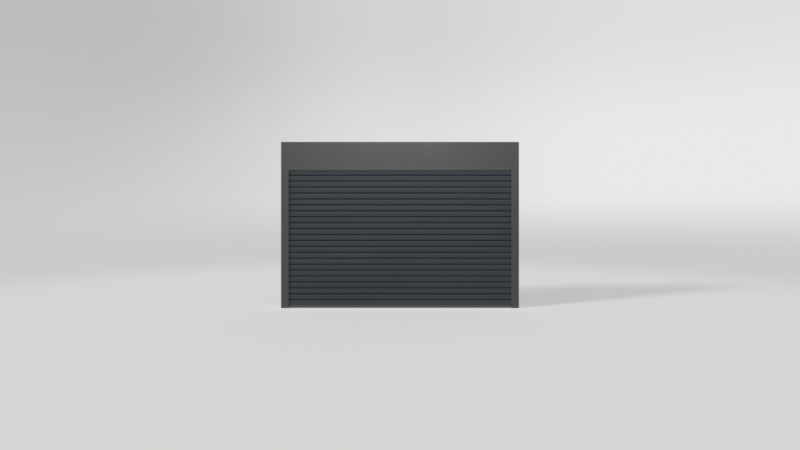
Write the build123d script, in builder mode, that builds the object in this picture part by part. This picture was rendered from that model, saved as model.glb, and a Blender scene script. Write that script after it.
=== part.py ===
from build123d import *
import math
import os

# Roller garage door, closed, seen from outside: x to the right, y into the building, z up from the floor.
# All lengths are millimetres.

# Driving sizes of the door
clear_width = 2888.0
slat_pitch = 77.0
slat_count = 23
top_slat_showing = 61.5
open_showing = 90.0
rail_width = 98.0
rail_depth = 44.0
box_height = 370.0
box_depth = 360.0
box_sheet = 1.5
box_bend = 1.1
running_gap = 0.3
screw_gap = 0.1
seat_gap = 0.03
cut_overrun = 5.0

# Slat: a hollow profile with a bead on its top edge and a socket in its foot
slat_thickness = 19.0
slat_crown = 2.2
slat_wall = 1.3
slat_seam = 9.0
slat_corner = 4.5
slat_rear_corner = 1.2
slat_web_share = 0.56
bead_radius = 3.2
bead_neck = 1.8
bead_setback = 3.0
bead_seat = 4.9
bead_swing_room = 1.1
slat_in_rail = 50.0
end_lock_plate = 4.0
end_lock_foot = 24.0
end_lock_inset = 0.5
end_lock_play = 0.8

# Bottom rail, its rubber edge and its stops
bottom_rail_height = 64.0
bottom_rail_corner = 1.5
bottom_rail_web = 1.6
seal_height = 37.0
seal_corner = 3.5
seal_wall = 2.4
seal_slot_head = 12.0
seal_slot_head_height = 4.0
seal_slot_neck = 6.0
seal_slot_lip = 1.8
seal_end_gap = 3.0
cap_plate = 5.0
cap_foot = 30.0
stop_radius = 12.0
stop_length = 15.0
stop_edge = 2.0
stop_hole_depth = 8.0
stop_screw_radius = 2.5
stop_screw_head_radius = 5.5
stop_screw_head = 3.0
stop_place_share = 0.9

# Guide rails, drawn outwards from the clear opening and back from the front
rail_wall = 2.0
rail_corner = 1.0
channel_reach = 62.0
channel_width = 28.0
flange_block = 15.0
insert_slot_place = 3.0
insert_slot_head = 8.0
insert_slot_neck = 4.6
insert_slot_lip = 1.0
insert_slot_depth = 3.0
insert_pad_width = 13.0
insert_slide_gap = 0.5
insert_nose = 1.4
insert_fit_gap = 0.2
foot_height = 4.0
foot_peg = 18.0
foot_peg_wall = 2.0
fixing_hole_radius = 4.25
fixing_access_radius = 8.0
fixing_low = 150.0
fixing_inner_spacing = 500.0
fixing_outer_spacing = 1500.0

# Box: side plates, covers and what they carry
plate_thickness = 4.0
rim_depth = 18.0
rim_thickness = 3.0
press_depth = 1.5
press_slope = 1.2
press_radius = 82.0
press_bead_place = 162.0
press_bead_length = 96.0
press_bead_width = 14.0
spigot_length = 110.0
spigot_wall = 3.0
spigot_neck_gap = 1.5
mouth_front = 7.0
mouth_rear = 40.0
cover_lip = 15.0
front_return = 30.0
funnel_height = 78.0
funnel_throat = 23.0
funnel_flare = 26.0
funnel_straight = 19.5
funnel_wall = 3.0
funnel_end_wall = 4.0
funnel_lug_height = 40.0
gland_place_y = 40.0
gland_place_x = 60.0
gland_bore = 4.5
gland_thread = 8.0
gland_flange = 11.0
gland_flange_height = 5.0
gland_dome_height = 11.0
gland_inside = 7.0
gland_nut_height = 4.0
gland_round = 1.5
cover_screw_radius = 2.0
cover_screw_head_radius = 4.5
cover_screw_head = 2.4
cover_screw_place_shares = (0.18, 0.55, 0.92)

# Barrel, its idler end and its motor end
barrel_flats = 102.0
barrel_wall = 2.5
barrel_axis_depth = 175.0
barrel_end_gap = 38.0
insert_fit = 0.3
capsule_length = 60.0
capsule_flange = 3.0
capsule_flange_over = 2.0
capsule_web = 6.0
capsule_hub_wall = 6.0
capsule_web_share = 0.62
pin_radius = 10.0
pin_collar_radius = 13.0
pin_collar = 6.0
pin_chamfer = 0.8
bearing_outer_radius = 23.5
bearing_width = 14.0
bearing_outer_land = 19.8
bearing_inner_land = 13.6
ball_radius = 3.9
ball_count = 8
ball_gap = 0.12
housing_wall = 6.0
bracket_size = 124.0
bracket_plate = 5.0
bracket_corner = 10.0
bracket_hole_spacing = 96.0
bracket_screw_radius = 3.0
bracket_screw_head_radius = 6.0
bracket_screw_head = 3.5
motor_radius = 29.5
motor_length = 610.0
motor_wall = 3.0
motor_head_radius = 42.0
motor_head_length = 24.0
motor_head_round = 3.0
motor_nose = 30.0
motor_nose_radius = 22.0
drive_shaft_radius = 9.0
drive_shaft_in_motor = 22.0
shaft_flat = 2.0
adapter_length = 30.0
adapter_pocket_radius = 7.0
adapter_pocket_count = 8
crown_length = 26.0
crown_flange = 2.0

# Hangers between the barrel and the top slat
hanger_place_shares = (-0.84, -0.3, 0.3, 0.84)
hanger_width = 38.0
clip_plate = 3.0
clip_height = 34.0
clip_knuckle = 8.0
hanger_pin = 3.5
hanger_link_thickness = 7.0
hanger_socket_wall = 2.6
hanger_middle_shares = (0.3, 0.76)
hanger_eye_wall = 3.2
hanger_pin_gap = 0.2
hanger_fork_gap = 0.5
hanger_fork_share = 0.5

# Places that follow from the sizes above
front = -box_depth / 2
half_clear = clear_width / 2
half_width = half_clear + rail_width
rail_middle = front + rail_depth / 2
body_height = slat_pitch - slat_seam
curtain_y = rail_middle
curtain_rear = curtain_y + slat_thickness / 2
first_slat_z = seal_height + bottom_rail_height + slat_seam
opening_height = first_slat_z - slat_seam / 2 + (slat_count - 2) * slat_pitch + top_slat_showing
overall_height = opening_height + box_height
top_slat_z = first_slat_z + (slat_count - 1) * slat_pitch
flange_thickness = (rail_depth - channel_width) / 2
slat_length = clear_width + 2 * slat_in_rail
bead_y = curtain_y + bead_setback
socket_radius = bead_radius + running_gap
bead_rise = slat_seam + bead_seat
barrel_y = front + barrel_axis_depth
barrel_z = opening_height + box_height / 2
plate_inner = half_width - plate_thickness
barrel_half = plate_inner - barrel_end_gap
tube_inner_flats = barrel_flats - 2 * barrel_wall
insert_flats = tube_inner_flats - 2 * insert_fit
barrel_front = barrel_y - barrel_flats / 2
box_floor = opening_height + box_sheet
box_ceiling = overall_height - box_sheet
rim_inner = plate_inner - rim_depth
bend_clearance = box_bend + running_gap
octagon_turn = 360 / 16
cover_screw_ys = [front + share * box_depth for share in cover_screw_place_shares]
screw_x = rim_inner + rim_depth / 2
screw_spots = [(way * screw_x, y) for way in (-1, 1) for y in cover_screw_ys]
gland_spot = (half_width - gland_place_x, -front - gland_place_y)
bracket_spots = [
    (barrel_y + over * bracket_hole_spacing / 2, barrel_z + up * bracket_hole_spacing / 2)
    for over in (-1, 1)
    for up in (-1, 1)
]

os.makedirs("parts", exist_ok=True)
finished = []


def save(piece, name):
    """Label a finished piece and write its file."""
    piece.part.label = name
    export_step(piece.part, f"parts/{name}.step")
    finished.append(name)


def across(x, y=0.0, z=0.0):
    """A section plane square to x: its own x runs along y and its own y up z."""
    return Plane(origin=(x, y, z), x_dir=(0, 1, 0), z_dir=(1, 0, 0))


def block(corner, opposite, mode=Mode.ADD):
    """A rectangle from one corner to the opposite one, in the current sketch."""
    with Locations(((corner[0] + opposite[0]) / 2, (corner[1] + opposite[1]) / 2)):
        Rectangle(abs(opposite[0] - corner[0]), abs(opposite[1] - corner[1]), mode=mode)


def other_side(piece):
    """The same piece for the left side of the door."""
    with BuildPart() as mirrored:
        add(mirror(piece.part, about=Plane.YZ, mode=Mode.PRIVATE))
    return mirrored


# Slats


def slat_outline():
    """The closed outline of a slat's body: a crowned front, a flat back and rounded corners."""
    shoulder = slat_thickness / 2 - slat_crown
    with BuildSketch() as outline:
        with BuildLine():
            ThreePointArc((-shoulder, 0), (-slat_thickness / 2, body_height / 2), (-shoulder, body_height))
            Polyline(
                (-shoulder, body_height),
                (slat_thickness / 2, body_height),
                (slat_thickness / 2, 0),
                (-shoulder, 0),
            )
        make_face()
        fillet(outline.vertices().group_by(Axis.X)[0], slat_corner)
        fillet(outline.vertices().group_by(Axis.X)[-1], slat_rear_corner)
    return outline.sketch


def bead(height):
    """The bead on a profile's top edge, on its neck, from the top of a body of this height."""
    block(
        (bead_setback - bead_neck / 2, height - slat_wall / 2),
        (bead_setback + bead_neck / 2, height + bead_rise),
    )
    with Locations((bead_setback, height + bead_rise)):
        Circle(bead_radius)


def slat_section():
    """The section of a slat: walls, web, socket in the foot and bead on top."""
    outline = slat_outline()
    with BuildSketch() as hollow:
        offset(outline, amount=-slat_wall)
        web = slat_web_share * body_height
        half = slat_thickness / 2
        block((-half, web - slat_wall / 2), (half, web + slat_wall / 2), Mode.SUBTRACT)
        block((bead_setback, 0), (half, bead_seat + socket_radius), Mode.SUBTRACT)
        with Locations((bead_setback, bead_seat)):
            Circle(socket_radius + slat_wall, mode=Mode.SUBTRACT)
    with BuildSketch() as section:
        add(outline)
        add(hollow.sketch, mode=Mode.SUBTRACT)
        with Locations((bead_setback, bead_seat)):
            Circle(socket_radius, mode=Mode.SUBTRACT)
        slot = bead_neck / 2 + bead_swing_room
        block((bead_setback - slot, -cut_overrun), (bead_setback + slot, bead_seat), Mode.SUBTRACT)
        bead(body_height)
    return section.sketch


def end_lock(side, z):
    """The lock on one end of a slat: a plate over the end and a foot in the upper chamber."""
    low = slat_web_share * body_height + slat_wall / 2 + end_lock_play
    high = body_height - slat_wall - end_lock_play
    half = slat_thickness / 2 - slat_crown - slat_wall - end_lock_play
    with BuildPart() as lock:
        with BuildSketch(across(side * (slat_length / 2 + seat_gap), curtain_y, z)):
            offset(slat_outline(), amount=-end_lock_inset)
            with Locations((bead_setback, bead_seat)):
                Circle(socket_radius + slat_wall, mode=Mode.SUBTRACT)
            block((bead_setback - socket_radius, -cut_overrun), (slat_thickness, bead_seat), Mode.SUBTRACT)
        extrude(amount=side * end_lock_plate)
        with BuildSketch(across(side * (slat_length / 2 + seat_gap), curtain_y, z)):
            block((-half, low), (half, high))
        extrude(amount=-side * end_lock_foot)
    return lock.part


section_of_slat = slat_section()
for number in range(slat_count):
    slat_z = first_slat_z + number * slat_pitch
    with BuildPart() as slat:
        with BuildSketch(across(-slat_length / 2, curtain_y, slat_z)):
            add(section_of_slat)
        extrude(amount=slat_length)
        if number % 2 == 0:
            for side in (-1, 1):
                add(end_lock(side, slat_z))
    save(slat, f"slat_{number + 1:02d}")


# Bottom rail and what is on it

with BuildPart() as bottom_rail:
    with BuildSketch(across(-slat_length / 2, curtain_y, seal_height)) as rail_face:
        block((-slat_thickness / 2, 0), (slat_thickness / 2, bottom_rail_height))
        fillet(rail_face.vertices(), bottom_rail_corner)
        slot_top = seal_slot_lip + seal_slot_head_height
        chamber_half = slat_thickness / 2 - bottom_rail_web
        chamber_top = bottom_rail_height - bottom_rail_web
        web = (slot_top + bottom_rail_web + chamber_top) / 2
        block((-chamber_half, slot_top + bottom_rail_web), (chamber_half, web), Mode.SUBTRACT)
        block((-chamber_half, web + bottom_rail_web), (chamber_half, chamber_top), Mode.SUBTRACT)
        block((-seal_slot_head / 2, seal_slot_lip), (seal_slot_head / 2, slot_top), Mode.SUBTRACT)
        block((-seal_slot_neck / 2, -cut_overrun), (seal_slot_neck / 2, slot_top), Mode.SUBTRACT)
        bead(bottom_rail_height)
    extrude(amount=slat_length)
    stop_z = open_showing - running_gap - stop_radius
    stop_x = stop_place_share * half_clear
    with BuildSketch(Plane.XZ.offset(-curtain_rear)):
        with Locations((-stop_x, stop_z), (stop_x, stop_z)):
            Circle(stop_screw_radius)
    extrude(amount=bottom_rail_web + running_gap, both=True, mode=Mode.SUBTRACT)
save(bottom_rail, "bottom_rail")

with BuildPart() as bottom_seal:
    seal_length = slat_length - 2 * seal_end_gap
    with BuildSketch(across(-seal_length / 2, curtain_y, 0)) as seal_face:
        half = slat_thickness / 2
        block((-half, 0), (half, seal_height))
        fillet(seal_face.vertices().group_by(Axis.Y)[0], seal_corner)
        with BuildSketch(mode=Mode.PRIVATE) as chamber:
            block((-half, 0), (half, seal_height))
            fillet(chamber.vertices().group_by(Axis.Y)[0], seal_corner)
            offset(amount=-seal_wall)
            block((-half, seal_height / 2), (half, seal_height / 2 + seal_wall), Mode.SUBTRACT)
        add(chamber.sketch, mode=Mode.SUBTRACT)
        neck = seal_slot_neck / 2 - running_gap
        head = seal_slot_head / 2 - running_gap
        head_low = seal_height + seal_slot_lip + running_gap
        head_high = seal_height + slot_top - running_gap
        block((-neck, seal_height - seal_wall / 2), (neck, (head_low + head_high) / 2))
        block((-head, head_low), (head, head_high))
    extrude(amount=seal_length)
save(bottom_seal, "bottom_seal")

with BuildPart() as bottom_rail_end_caps:
    for side in (-1, 1):
        with BuildSketch(across(side * slat_length / 2, curtain_y, seal_height)) as cap_face:
            half = slat_thickness / 2
            block((-half, 0), (half, bottom_rail_height))
            fillet(cap_face.vertices(), bottom_rail_corner)
        extrude(amount=side * cap_plate)
        with BuildSketch(across(side * slat_length / 2, curtain_y, seal_height)):
            half = chamber_half - running_gap
            block((-half, web + bottom_rail_web + running_gap), (half, chamber_top - running_gap))
            block((-half, slot_top + bottom_rail_web + running_gap), (half, web - running_gap))
        extrude(amount=-side * cap_foot)
save(bottom_rail_end_caps, "bottom_rail_end_caps")

with BuildPart() as bottom_stops:
    for side in (-1, 1):
        with BuildSketch(Plane.XZ.offset(-curtain_rear)):
            with Locations((side * stop_x, stop_z)):
                Circle(stop_radius)
                Circle(stop_screw_radius, mode=Mode.SUBTRACT)
        extrude(amount=-stop_length)
        with BuildSketch(Plane.XZ.offset(-curtain_rear - stop_length)):
            with Locations((side * stop_x, stop_z)):
                Circle(stop_screw_head_radius + running_gap)
        extrude(amount=stop_hole_depth, mode=Mode.SUBTRACT)
    rims = bottom_stops.edges().filter_by(GeomType.CIRCLE).group_by(SortBy.RADIUS)[-1]
    chamfer(rims.group_by(Axis.Y)[-1], stop_edge)
save(bottom_stops, "bottom_stops")

with BuildPart() as stop_screws:
    head_y = curtain_rear + stop_length - stop_hole_depth
    for side in (-1, 1):
        with BuildSketch(Plane.XZ.offset(-head_y)):
            with Locations((side * stop_x, stop_z)):
                Circle(stop_screw_head_radius)
        extrude(amount=-stop_screw_head)
        with BuildSketch(Plane.XZ.offset(-head_y)):
            with Locations((side * stop_x, stop_z)):
                Circle(stop_screw_radius)
        extrude(amount=stop_length - stop_hole_depth + bottom_rail_web)
save(stop_screws, "stop_screws")


# Guide rails


def rail_plane(z):
    """The right rail's section plane: outwards from the opening's edge, back from the front."""
    return Plane(origin=(half_clear, front, z), x_dir=(1, 0, 0), z_dir=(0, 0, 1))


def insert_slot(face, into, gap, mode):
    """The undercut slot for a slide insert, from the channel's face into the flange."""
    middle = insert_slot_place + insert_slot_head / 2
    neck, head = insert_slot_neck / 2 - gap, insert_slot_head / 2 - gap
    lip, floor = face + into * (insert_slot_lip + gap), face + into * (insert_slot_depth - gap)
    block((middle - neck, face - into * insert_slot_lip), (middle + neck, floor), mode)
    block((middle - head, lip), (middle + head, floor), mode)


with BuildPart() as guide_rail_right:
    channel_front = flange_thickness
    channel_back = rail_depth - flange_thickness
    with BuildSketch(rail_plane(foot_height)) as rail_section:
        block((0, 0), (rail_width, rail_depth))
        fillet(rail_section.vertices(), rail_corner)
        block((-cut_overrun, channel_front), (channel_reach, channel_back), Mode.SUBTRACT)
        block(
            (channel_reach + rail_wall, rail_wall),
            (rail_width - rail_wall, rail_depth - rail_wall),
            Mode.SUBTRACT,
        )
        chamber_end = channel_reach - rail_wall
        block((flange_block, rail_wall), (chamber_end, flange_thickness - rail_wall), Mode.SUBTRACT)
        block(
            (flange_block, rail_depth - flange_thickness + rail_wall),
            (chamber_end, rail_depth - rail_wall),
            Mode.SUBTRACT,
        )
        insert_slot(channel_front, -1, 0, Mode.SUBTRACT)
        insert_slot(channel_back, 1, 0, Mode.SUBTRACT)
    extrude(amount=opening_height - foot_height)
    fixing_middle = fixing_low + fixing_outer_spacing / 2
    fixing_heights = [
        fixing_middle + way * spacing / 2
        for spacing in (fixing_outer_spacing, fixing_inner_spacing)
        for way in (-1, 1)
    ]
    with BuildSketch(across(half_width, rail_middle)):
        with Locations(*[(0, z) for z in fixing_heights]):
            Circle(fixing_hole_radius)
    extrude(amount=-rail_wall - running_gap, mode=Mode.SUBTRACT)
    with BuildSketch(across(half_clear + channel_reach, rail_middle)):
        with Locations(*[(0, z) for z in fixing_heights]):
            Circle(fixing_access_radius)
    extrude(amount=rail_wall + running_gap, mode=Mode.SUBTRACT)
save(guide_rail_right, "guide_rail_right")
save(other_side(guide_rail_right), "guide_rail_left")

with BuildPart() as slide_inserts_right:
    pad = (channel_width - slat_thickness) / 2 - insert_slide_gap
    pad_start = insert_slot_place + insert_slot_head / 2 - insert_pad_width / 2
    with BuildSketch(rail_plane(foot_height)) as pads:
        block((pad_start, channel_front), (pad_start + insert_pad_width, channel_front + pad))
        block((pad_start, channel_back - pad), (pad_start + insert_pad_width, channel_back))
        fillet(pads.vertices().group_by(Axis.Y)[1] + pads.vertices().group_by(Axis.Y)[2], insert_nose)
        insert_slot(channel_front, -1, insert_fit_gap, Mode.ADD)
        insert_slot(channel_back, 1, insert_fit_gap, Mode.ADD)
    extrude(amount=opening_height - foot_height)
save(slide_inserts_right, "slide_inserts_right")
save(other_side(slide_inserts_right), "slide_inserts_left")

with BuildPart() as rail_feet:
    with BuildSketch(rail_plane(0)) as foot_face:
        block((0, 0), (rail_width, rail_depth))
        fillet(foot_face.vertices(), rail_corner)
        block((-cut_overrun, channel_front), (channel_reach, channel_back), Mode.SUBTRACT)
    extrude(amount=foot_height)
    peg_gap = rail_wall + running_gap
    peg_low = (channel_reach + rail_wall + running_gap, peg_gap)
    peg_high = (rail_width - peg_gap, rail_depth - peg_gap)
    with BuildSketch(rail_plane(foot_height)):
        block(peg_low, peg_high)
        block(
            (peg_low[0] + foot_peg_wall, peg_low[1] + foot_peg_wall),
            (peg_high[0] - foot_peg_wall, peg_high[1] - foot_peg_wall),
            Mode.SUBTRACT,
        )
    extrude(amount=foot_peg)
    mirror(about=Plane.YZ)
save(rail_feet, "rail_feet")


# Box: side plates, funnels and covers

with BuildPart() as side_plate_right:
    plate_low = (front + box_sheet, box_floor)
    plate_high = (-front - box_sheet, box_ceiling)
    with BuildSketch(across(plate_inner)) as plate_face:
        block(plate_low, plate_high)
        fillet(plate_face.vertices(), bend_clearance)
        with Locations(*bracket_spots):
            Circle(bracket_screw_radius + screw_gap, mode=Mode.SUBTRACT)
    extrude(amount=plate_thickness)
    with BuildSketch(across(rim_inner)) as rim_face:
        block(plate_low, plate_high)
        fillet(rim_face.vertices(), bend_clearance)
        block(
            (plate_low[0] + rim_thickness, plate_low[1] + rim_thickness),
            (plate_high[0] - rim_thickness, plate_high[1] - rim_thickness),
            Mode.SUBTRACT,
        )
    extrude(amount=rim_depth)
    # the spigot hangs in the rail's outer chamber, with a neck between the covers' edges
    neck_low = (channel_reach + funnel_end_wall + running_gap, mouth_front + spigot_neck_gap)
    neck_high = (rail_width - rail_wall - running_gap, mouth_rear - spigot_neck_gap)
    with BuildSketch(rail_plane(opening_height - running_gap)):
        block(neck_low, neck_high)
    extrude(amount=box_sheet + running_gap + rim_thickness)
    spigot_low = (channel_reach + rail_wall + running_gap, rail_wall + running_gap)
    spigot_high = (neck_high[0], rail_depth - rail_wall - running_gap)
    with BuildSketch(rail_plane(opening_height - spigot_length)):
        block(spigot_low, spigot_high)
        block(
            (spigot_low[0] + spigot_wall, spigot_low[1] + spigot_wall),
            (spigot_high[0] - spigot_wall, spigot_high[1] - spigot_wall),
            Mode.SUBTRACT,
        )
    extrude(amount=spigot_length - running_gap - spigot_wall)
    with BuildSketch(rail_plane(opening_height - running_gap - spigot_wall)):
        block(spigot_low, spigot_high)
    extrude(amount=spigot_wall)
    with BuildSketch(Plane.XY.offset(box_floor)):
        with Locations(*[(screw_x, y) for y in cover_screw_ys]):
            Circle(cover_screw_radius + screw_gap)
    extrude(amount=rim_thickness, mode=Mode.SUBTRACT)
    # pressed into the outer face: a round recess where the barrel is carried, and a bead to each corner
    with BuildSketch(across(half_width, barrel_y, barrel_z)):
        Circle(press_radius)
        with PolarLocations(press_bead_place, 4, octagon_turn * 2):
            SlotCenterToCenter(press_bead_length, press_bead_width)
    extrude(amount=-press_depth, mode=Mode.SUBTRACT)
    outer_face = side_plate_right.faces().sort_by(Axis.X)[-1]
    chamfer(ShapeList([edge for loop in outer_face.inner_wires() for edge in loop.edges()]), press_slope)
save(side_plate_right, "side_plate_right")
save(other_side(side_plate_right), "side_plate_left")

with BuildPart() as inlet_funnel_right:
    throat_front = rail_middle - front - funnel_throat / 2
    throat_back = rail_middle - front + funnel_throat / 2
    with BuildSketch(across(half_clear, front, box_floor)) as funnel_face:
        block((box_sheet, 0), (throat_front, funnel_height))
        with BuildLine():
            Line((throat_back, 0), (throat_back, funnel_straight))
            TangentArc(
                (throat_back, funnel_straight), (throat_back + funnel_flare, funnel_height), tangent=(0, 1)
            )
            Polyline(
                (throat_back + funnel_flare, funnel_height),
                (throat_back + funnel_flare, funnel_height - funnel_wall),
                (throat_back + funnel_wall, funnel_straight),
                (throat_back + funnel_wall, 0),
                (throat_back, 0),
            )
        make_face()
        fillet(funnel_face.vertices().sort_by_distance((box_sheet, 0))[0], bend_clearance)
    extrude(amount=channel_reach)
    with BuildSketch(across(half_clear + channel_reach, front, box_floor)) as funnel_end:
        block((box_sheet, 0), (throat_back + funnel_wall, funnel_height))
        fillet(funnel_end.vertices().sort_by_distance((box_sheet, 0))[0], bend_clearance)
    extrude(amount=funnel_end_wall)
    lug_from = half_clear + channel_reach + funnel_end_wall
    with BuildSketch(across(lug_from, front, box_floor + rim_thickness + running_gap)):
        block((throat_front, 0), (throat_back, funnel_lug_height))
        block(
            (throat_front + funnel_wall, funnel_wall),
            (throat_back - funnel_wall, funnel_lug_height - funnel_wall),
            Mode.SUBTRACT,
        )
    extrude(amount=plate_inner - lug_from)
save(inlet_funnel_right, "inlet_funnel_right")
save(other_side(inlet_funnel_right), "inlet_funnel_left")

full_width = 2 * half_width
lip_width = 2 * (rim_inner - running_gap)
rail_gap_width = clear_width - 2 * cover_lip

with BuildPart() as box_front_cover:
    with BuildSketch(across(-half_width, front, opening_height)) as front_sheet:
        block((0, 0), (box_sheet, box_height))
        block((0, box_height - box_sheet), (front_return, box_height))
        block((0, 0), (mouth_front, box_sheet))
        fillet(front_sheet.vertices().group_by(Axis.X)[1], box_bend)
        fillet(front_sheet.vertices().group_by(Axis.X)[0], box_bend + box_sheet)
    extrude(amount=full_width)
save(box_front_cover, "box_front_cover")

with BuildPart() as box_top_cover:
    with BuildSketch(across(-half_width, front, box_ceiling)):
        block((front_return, 0), (box_depth - box_sheet, box_sheet))
    extrude(amount=full_width)
    with BuildSketch(across(-lip_width / 2, front, box_ceiling)):
        block((front_return - cover_lip, -box_sheet), (front_return + cover_lip, 0))
    extrude(amount=lip_width)
save(box_top_cover, "box_top_cover")

with BuildPart() as box_rear_cover:
    with BuildSketch(across(-half_width, -front, opening_height)):
        block((-box_sheet, 0), (0, box_height))
    extrude(amount=full_width)
    with BuildSketch(across(-lip_width / 2, -front, box_ceiling)):
        block((-box_sheet - cover_lip, -box_sheet), (-box_sheet, 0))
    extrude(amount=lip_width)
save(box_rear_cover, "box_rear_cover")

with BuildPart() as box_bottom_cover:
    with BuildSketch(Plane.XY.offset(opening_height)):
        block((-half_width, front + mouth_rear), (half_width, -front - box_sheet))
        with Locations(*screw_spots):
            Circle(cover_screw_radius + screw_gap, mode=Mode.SUBTRACT)
        with Locations(gland_spot):
            Circle(gland_thread + screw_gap, mode=Mode.SUBTRACT)
    extrude(amount=box_sheet)
    with BuildSketch(across(-rail_gap_width / 2, front, box_floor)):
        block((mouth_rear, 0), (mouth_rear + box_sheet, cover_lip))
    extrude(amount=rail_gap_width)
    with BuildSketch(across(-lip_width / 2, -front, box_floor)):
        block((-2 * box_sheet, 0), (-box_sheet, cover_lip))
    extrude(amount=lip_width)
save(box_bottom_cover, "box_bottom_cover")

with BuildPart() as cover_screws:
    with BuildSketch(Plane.XY.offset(opening_height - cover_screw_head)):
        with Locations(*screw_spots):
            Circle(cover_screw_head_radius)
    extrude(amount=cover_screw_head)
    with BuildSketch(Plane.XY.offset(opening_height)):
        with Locations(*screw_spots):
            Circle(cover_screw_radius)
    extrude(amount=box_sheet + rim_thickness)
save(cover_screws, "cover_screws")

with BuildPart() as cable_gland:
    with BuildSketch(Plane.XY.offset(opening_height - gland_flange_height)):
        with Locations(gland_spot):
            RegularPolygon(gland_flange, 6, major_radius=False)
    extrude(amount=gland_flange_height)
    with BuildSketch(Plane.XY.offset(opening_height - gland_flange_height - gland_dome_height)):
        with Locations(gland_spot):
            Circle(gland_thread + gland_round)
    extrude(amount=gland_dome_height)
    chamfer(cable_gland.edges().group_by(Axis.Z)[0], gland_round)
    with BuildSketch(Plane.XY.offset(opening_height)):
        with Locations(gland_spot):
            Circle(gland_thread)
    extrude(amount=box_sheet + gland_inside)
    with BuildSketch(Plane.XY.offset(box_floor)):
        with Locations(gland_spot):
            RegularPolygon(gland_flange, 6, major_radius=False)
    extrude(amount=gland_nut_height)
    with BuildSketch(Plane.XY.offset(opening_height - gland_flange_height - gland_dome_height)):
        with Locations(gland_spot):
            Circle(gland_bore)
    extrude(amount=gland_dome_height + gland_flange_height + box_sheet + gland_inside, mode=Mode.SUBTRACT)
save(cable_gland, "cable_gland")


# Barrel and its idler end, on the left


def barrel_plane(x):
    """A section plane square to the barrel, centred on its axis."""
    return across(x, barrel_y, barrel_z)


def octagon(flats, mode=Mode.ADD):
    """An octagon of this size across its flats, with a flat to the front."""
    RegularPolygon(flats / 2, 8, major_radius=False, rotation=octagon_turn, mode=mode)


with BuildPart() as barrel:
    with BuildSketch(barrel_plane(-barrel_half)):
        octagon(barrel_flats)
        octagon(tube_inner_flats, Mode.SUBTRACT)
    extrude(amount=2 * barrel_half)
save(barrel, "barrel")

with BuildPart() as idler_capsule:
    web_radius = capsule_web_share * insert_flats / 2
    with BuildSketch(barrel_plane(-barrel_half)):
        octagon(insert_flats)
        Circle(web_radius, mode=Mode.SUBTRACT)
        Circle(pin_radius + capsule_hub_wall)
    extrude(amount=capsule_length)
    with BuildSketch(barrel_plane(-barrel_half)):
        Circle(web_radius)
    extrude(amount=capsule_web)
    with BuildSketch(barrel_plane(-barrel_half - capsule_flange)):
        octagon(barrel_flats + 2 * capsule_flange_over)
    extrude(amount=capsule_flange)
    with BuildSketch(barrel_plane(-barrel_half - capsule_flange)):
        Circle(pin_radius + seat_gap)
    extrude(amount=capsule_flange + capsule_length, mode=Mode.SUBTRACT)
save(idler_capsule, "idler_capsule")

# the bearing sits in its bracket on the left side plate, and the pin runs through it
housing_x = -plate_inner + bracket_plate
bearing_end_x = housing_x + bearing_width

with BuildPart() as idler_pin:
    with BuildSketch(barrel_plane(housing_x + running_gap)):
        Circle(pin_radius)
    extrude(amount=plate_inner - barrel_half - bracket_plate + capsule_length)
    with BuildSketch(barrel_plane(bearing_end_x)):
        Circle(pin_collar_radius)
    extrude(amount=pin_collar)
    chamfer(idler_pin.edges().group_by(Axis.X)[0] + idler_pin.edges().group_by(Axis.X)[-1], pin_chamfer)
save(idler_pin, "idler_pin")


def bearing_ring(inner, outer):
    """A plain ring with the balls' groove turned in it."""
    with BuildPart() as ring:
        with BuildSketch(barrel_plane(housing_x)):
            Circle(outer)
            Circle(inner, mode=Mode.SUBTRACT)
        extrude(amount=bearing_width)
        middle = housing_x + bearing_width / 2
        with BuildSketch(Plane(origin=(middle, barrel_y, barrel_z), x_dir=(0, 1, 0), z_dir=(0, 0, 1))):
            with Locations((ball_circle, 0)):
                Circle(ball_radius + ball_gap)
        revolve(axis=Axis((middle, barrel_y, barrel_z), (1, 0, 0)), mode=Mode.SUBTRACT)
    return ring


ball_circle = (bearing_outer_land + bearing_inner_land) / 2
save(bearing_ring(bearing_outer_land, bearing_outer_radius), "bearing_outer_ring")
save(bearing_ring(pin_radius + seat_gap, bearing_inner_land), "bearing_inner_ring")

with BuildPart() as bearing_balls:
    with Locations(barrel_plane(housing_x + bearing_width / 2)):
        with PolarLocations(ball_circle, ball_count):
            Sphere(ball_radius)
save(bearing_balls, "bearing_balls")


def bracket_face():
    """The square plate of a barrel bracket with its four screw holes."""
    rounded = RectangleRounded(bracket_size, bracket_size, bracket_corner)
    with GridLocations(bracket_hole_spacing, bracket_hole_spacing, 2, 2):
        Circle(bracket_screw_radius + screw_gap, mode=Mode.SUBTRACT)
    return rounded


with BuildPart() as bearing_bracket:
    with BuildSketch(barrel_plane(-plate_inner)):
        bracket_face()
        Circle(bearing_inner_land, mode=Mode.SUBTRACT)
    extrude(amount=bracket_plate)
    with BuildSketch(barrel_plane(housing_x)):
        Circle(bearing_outer_radius + housing_wall)
        Circle(bearing_outer_radius + seat_gap, mode=Mode.SUBTRACT)
    extrude(amount=bearing_width)
save(bearing_bracket, "bearing_bracket")

with BuildPart() as bracket_screws:
    for side in (-1, 1):
        with BuildSketch(across(side * (plate_inner - bracket_plate))):
            with Locations(*bracket_spots):
                Circle(bracket_screw_head_radius)
        extrude(amount=-side * bracket_screw_head)
        with BuildSketch(across(side * (plate_inner - bracket_plate))):
            with Locations(*bracket_spots):
                Circle(bracket_screw_radius)
        extrude(amount=side * (bracket_plate + plate_thickness - running_gap))
save(bracket_screws, "bracket_screws")


# Motor end, on the right: the motor stands still in the barrel and turns it by its shaft

motor_start = plate_inner - bracket_plate - motor_head_length
motor_end = motor_start - motor_length
nose_end = motor_end - motor_nose
stub_radius = motor_head_radius / 2

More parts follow.
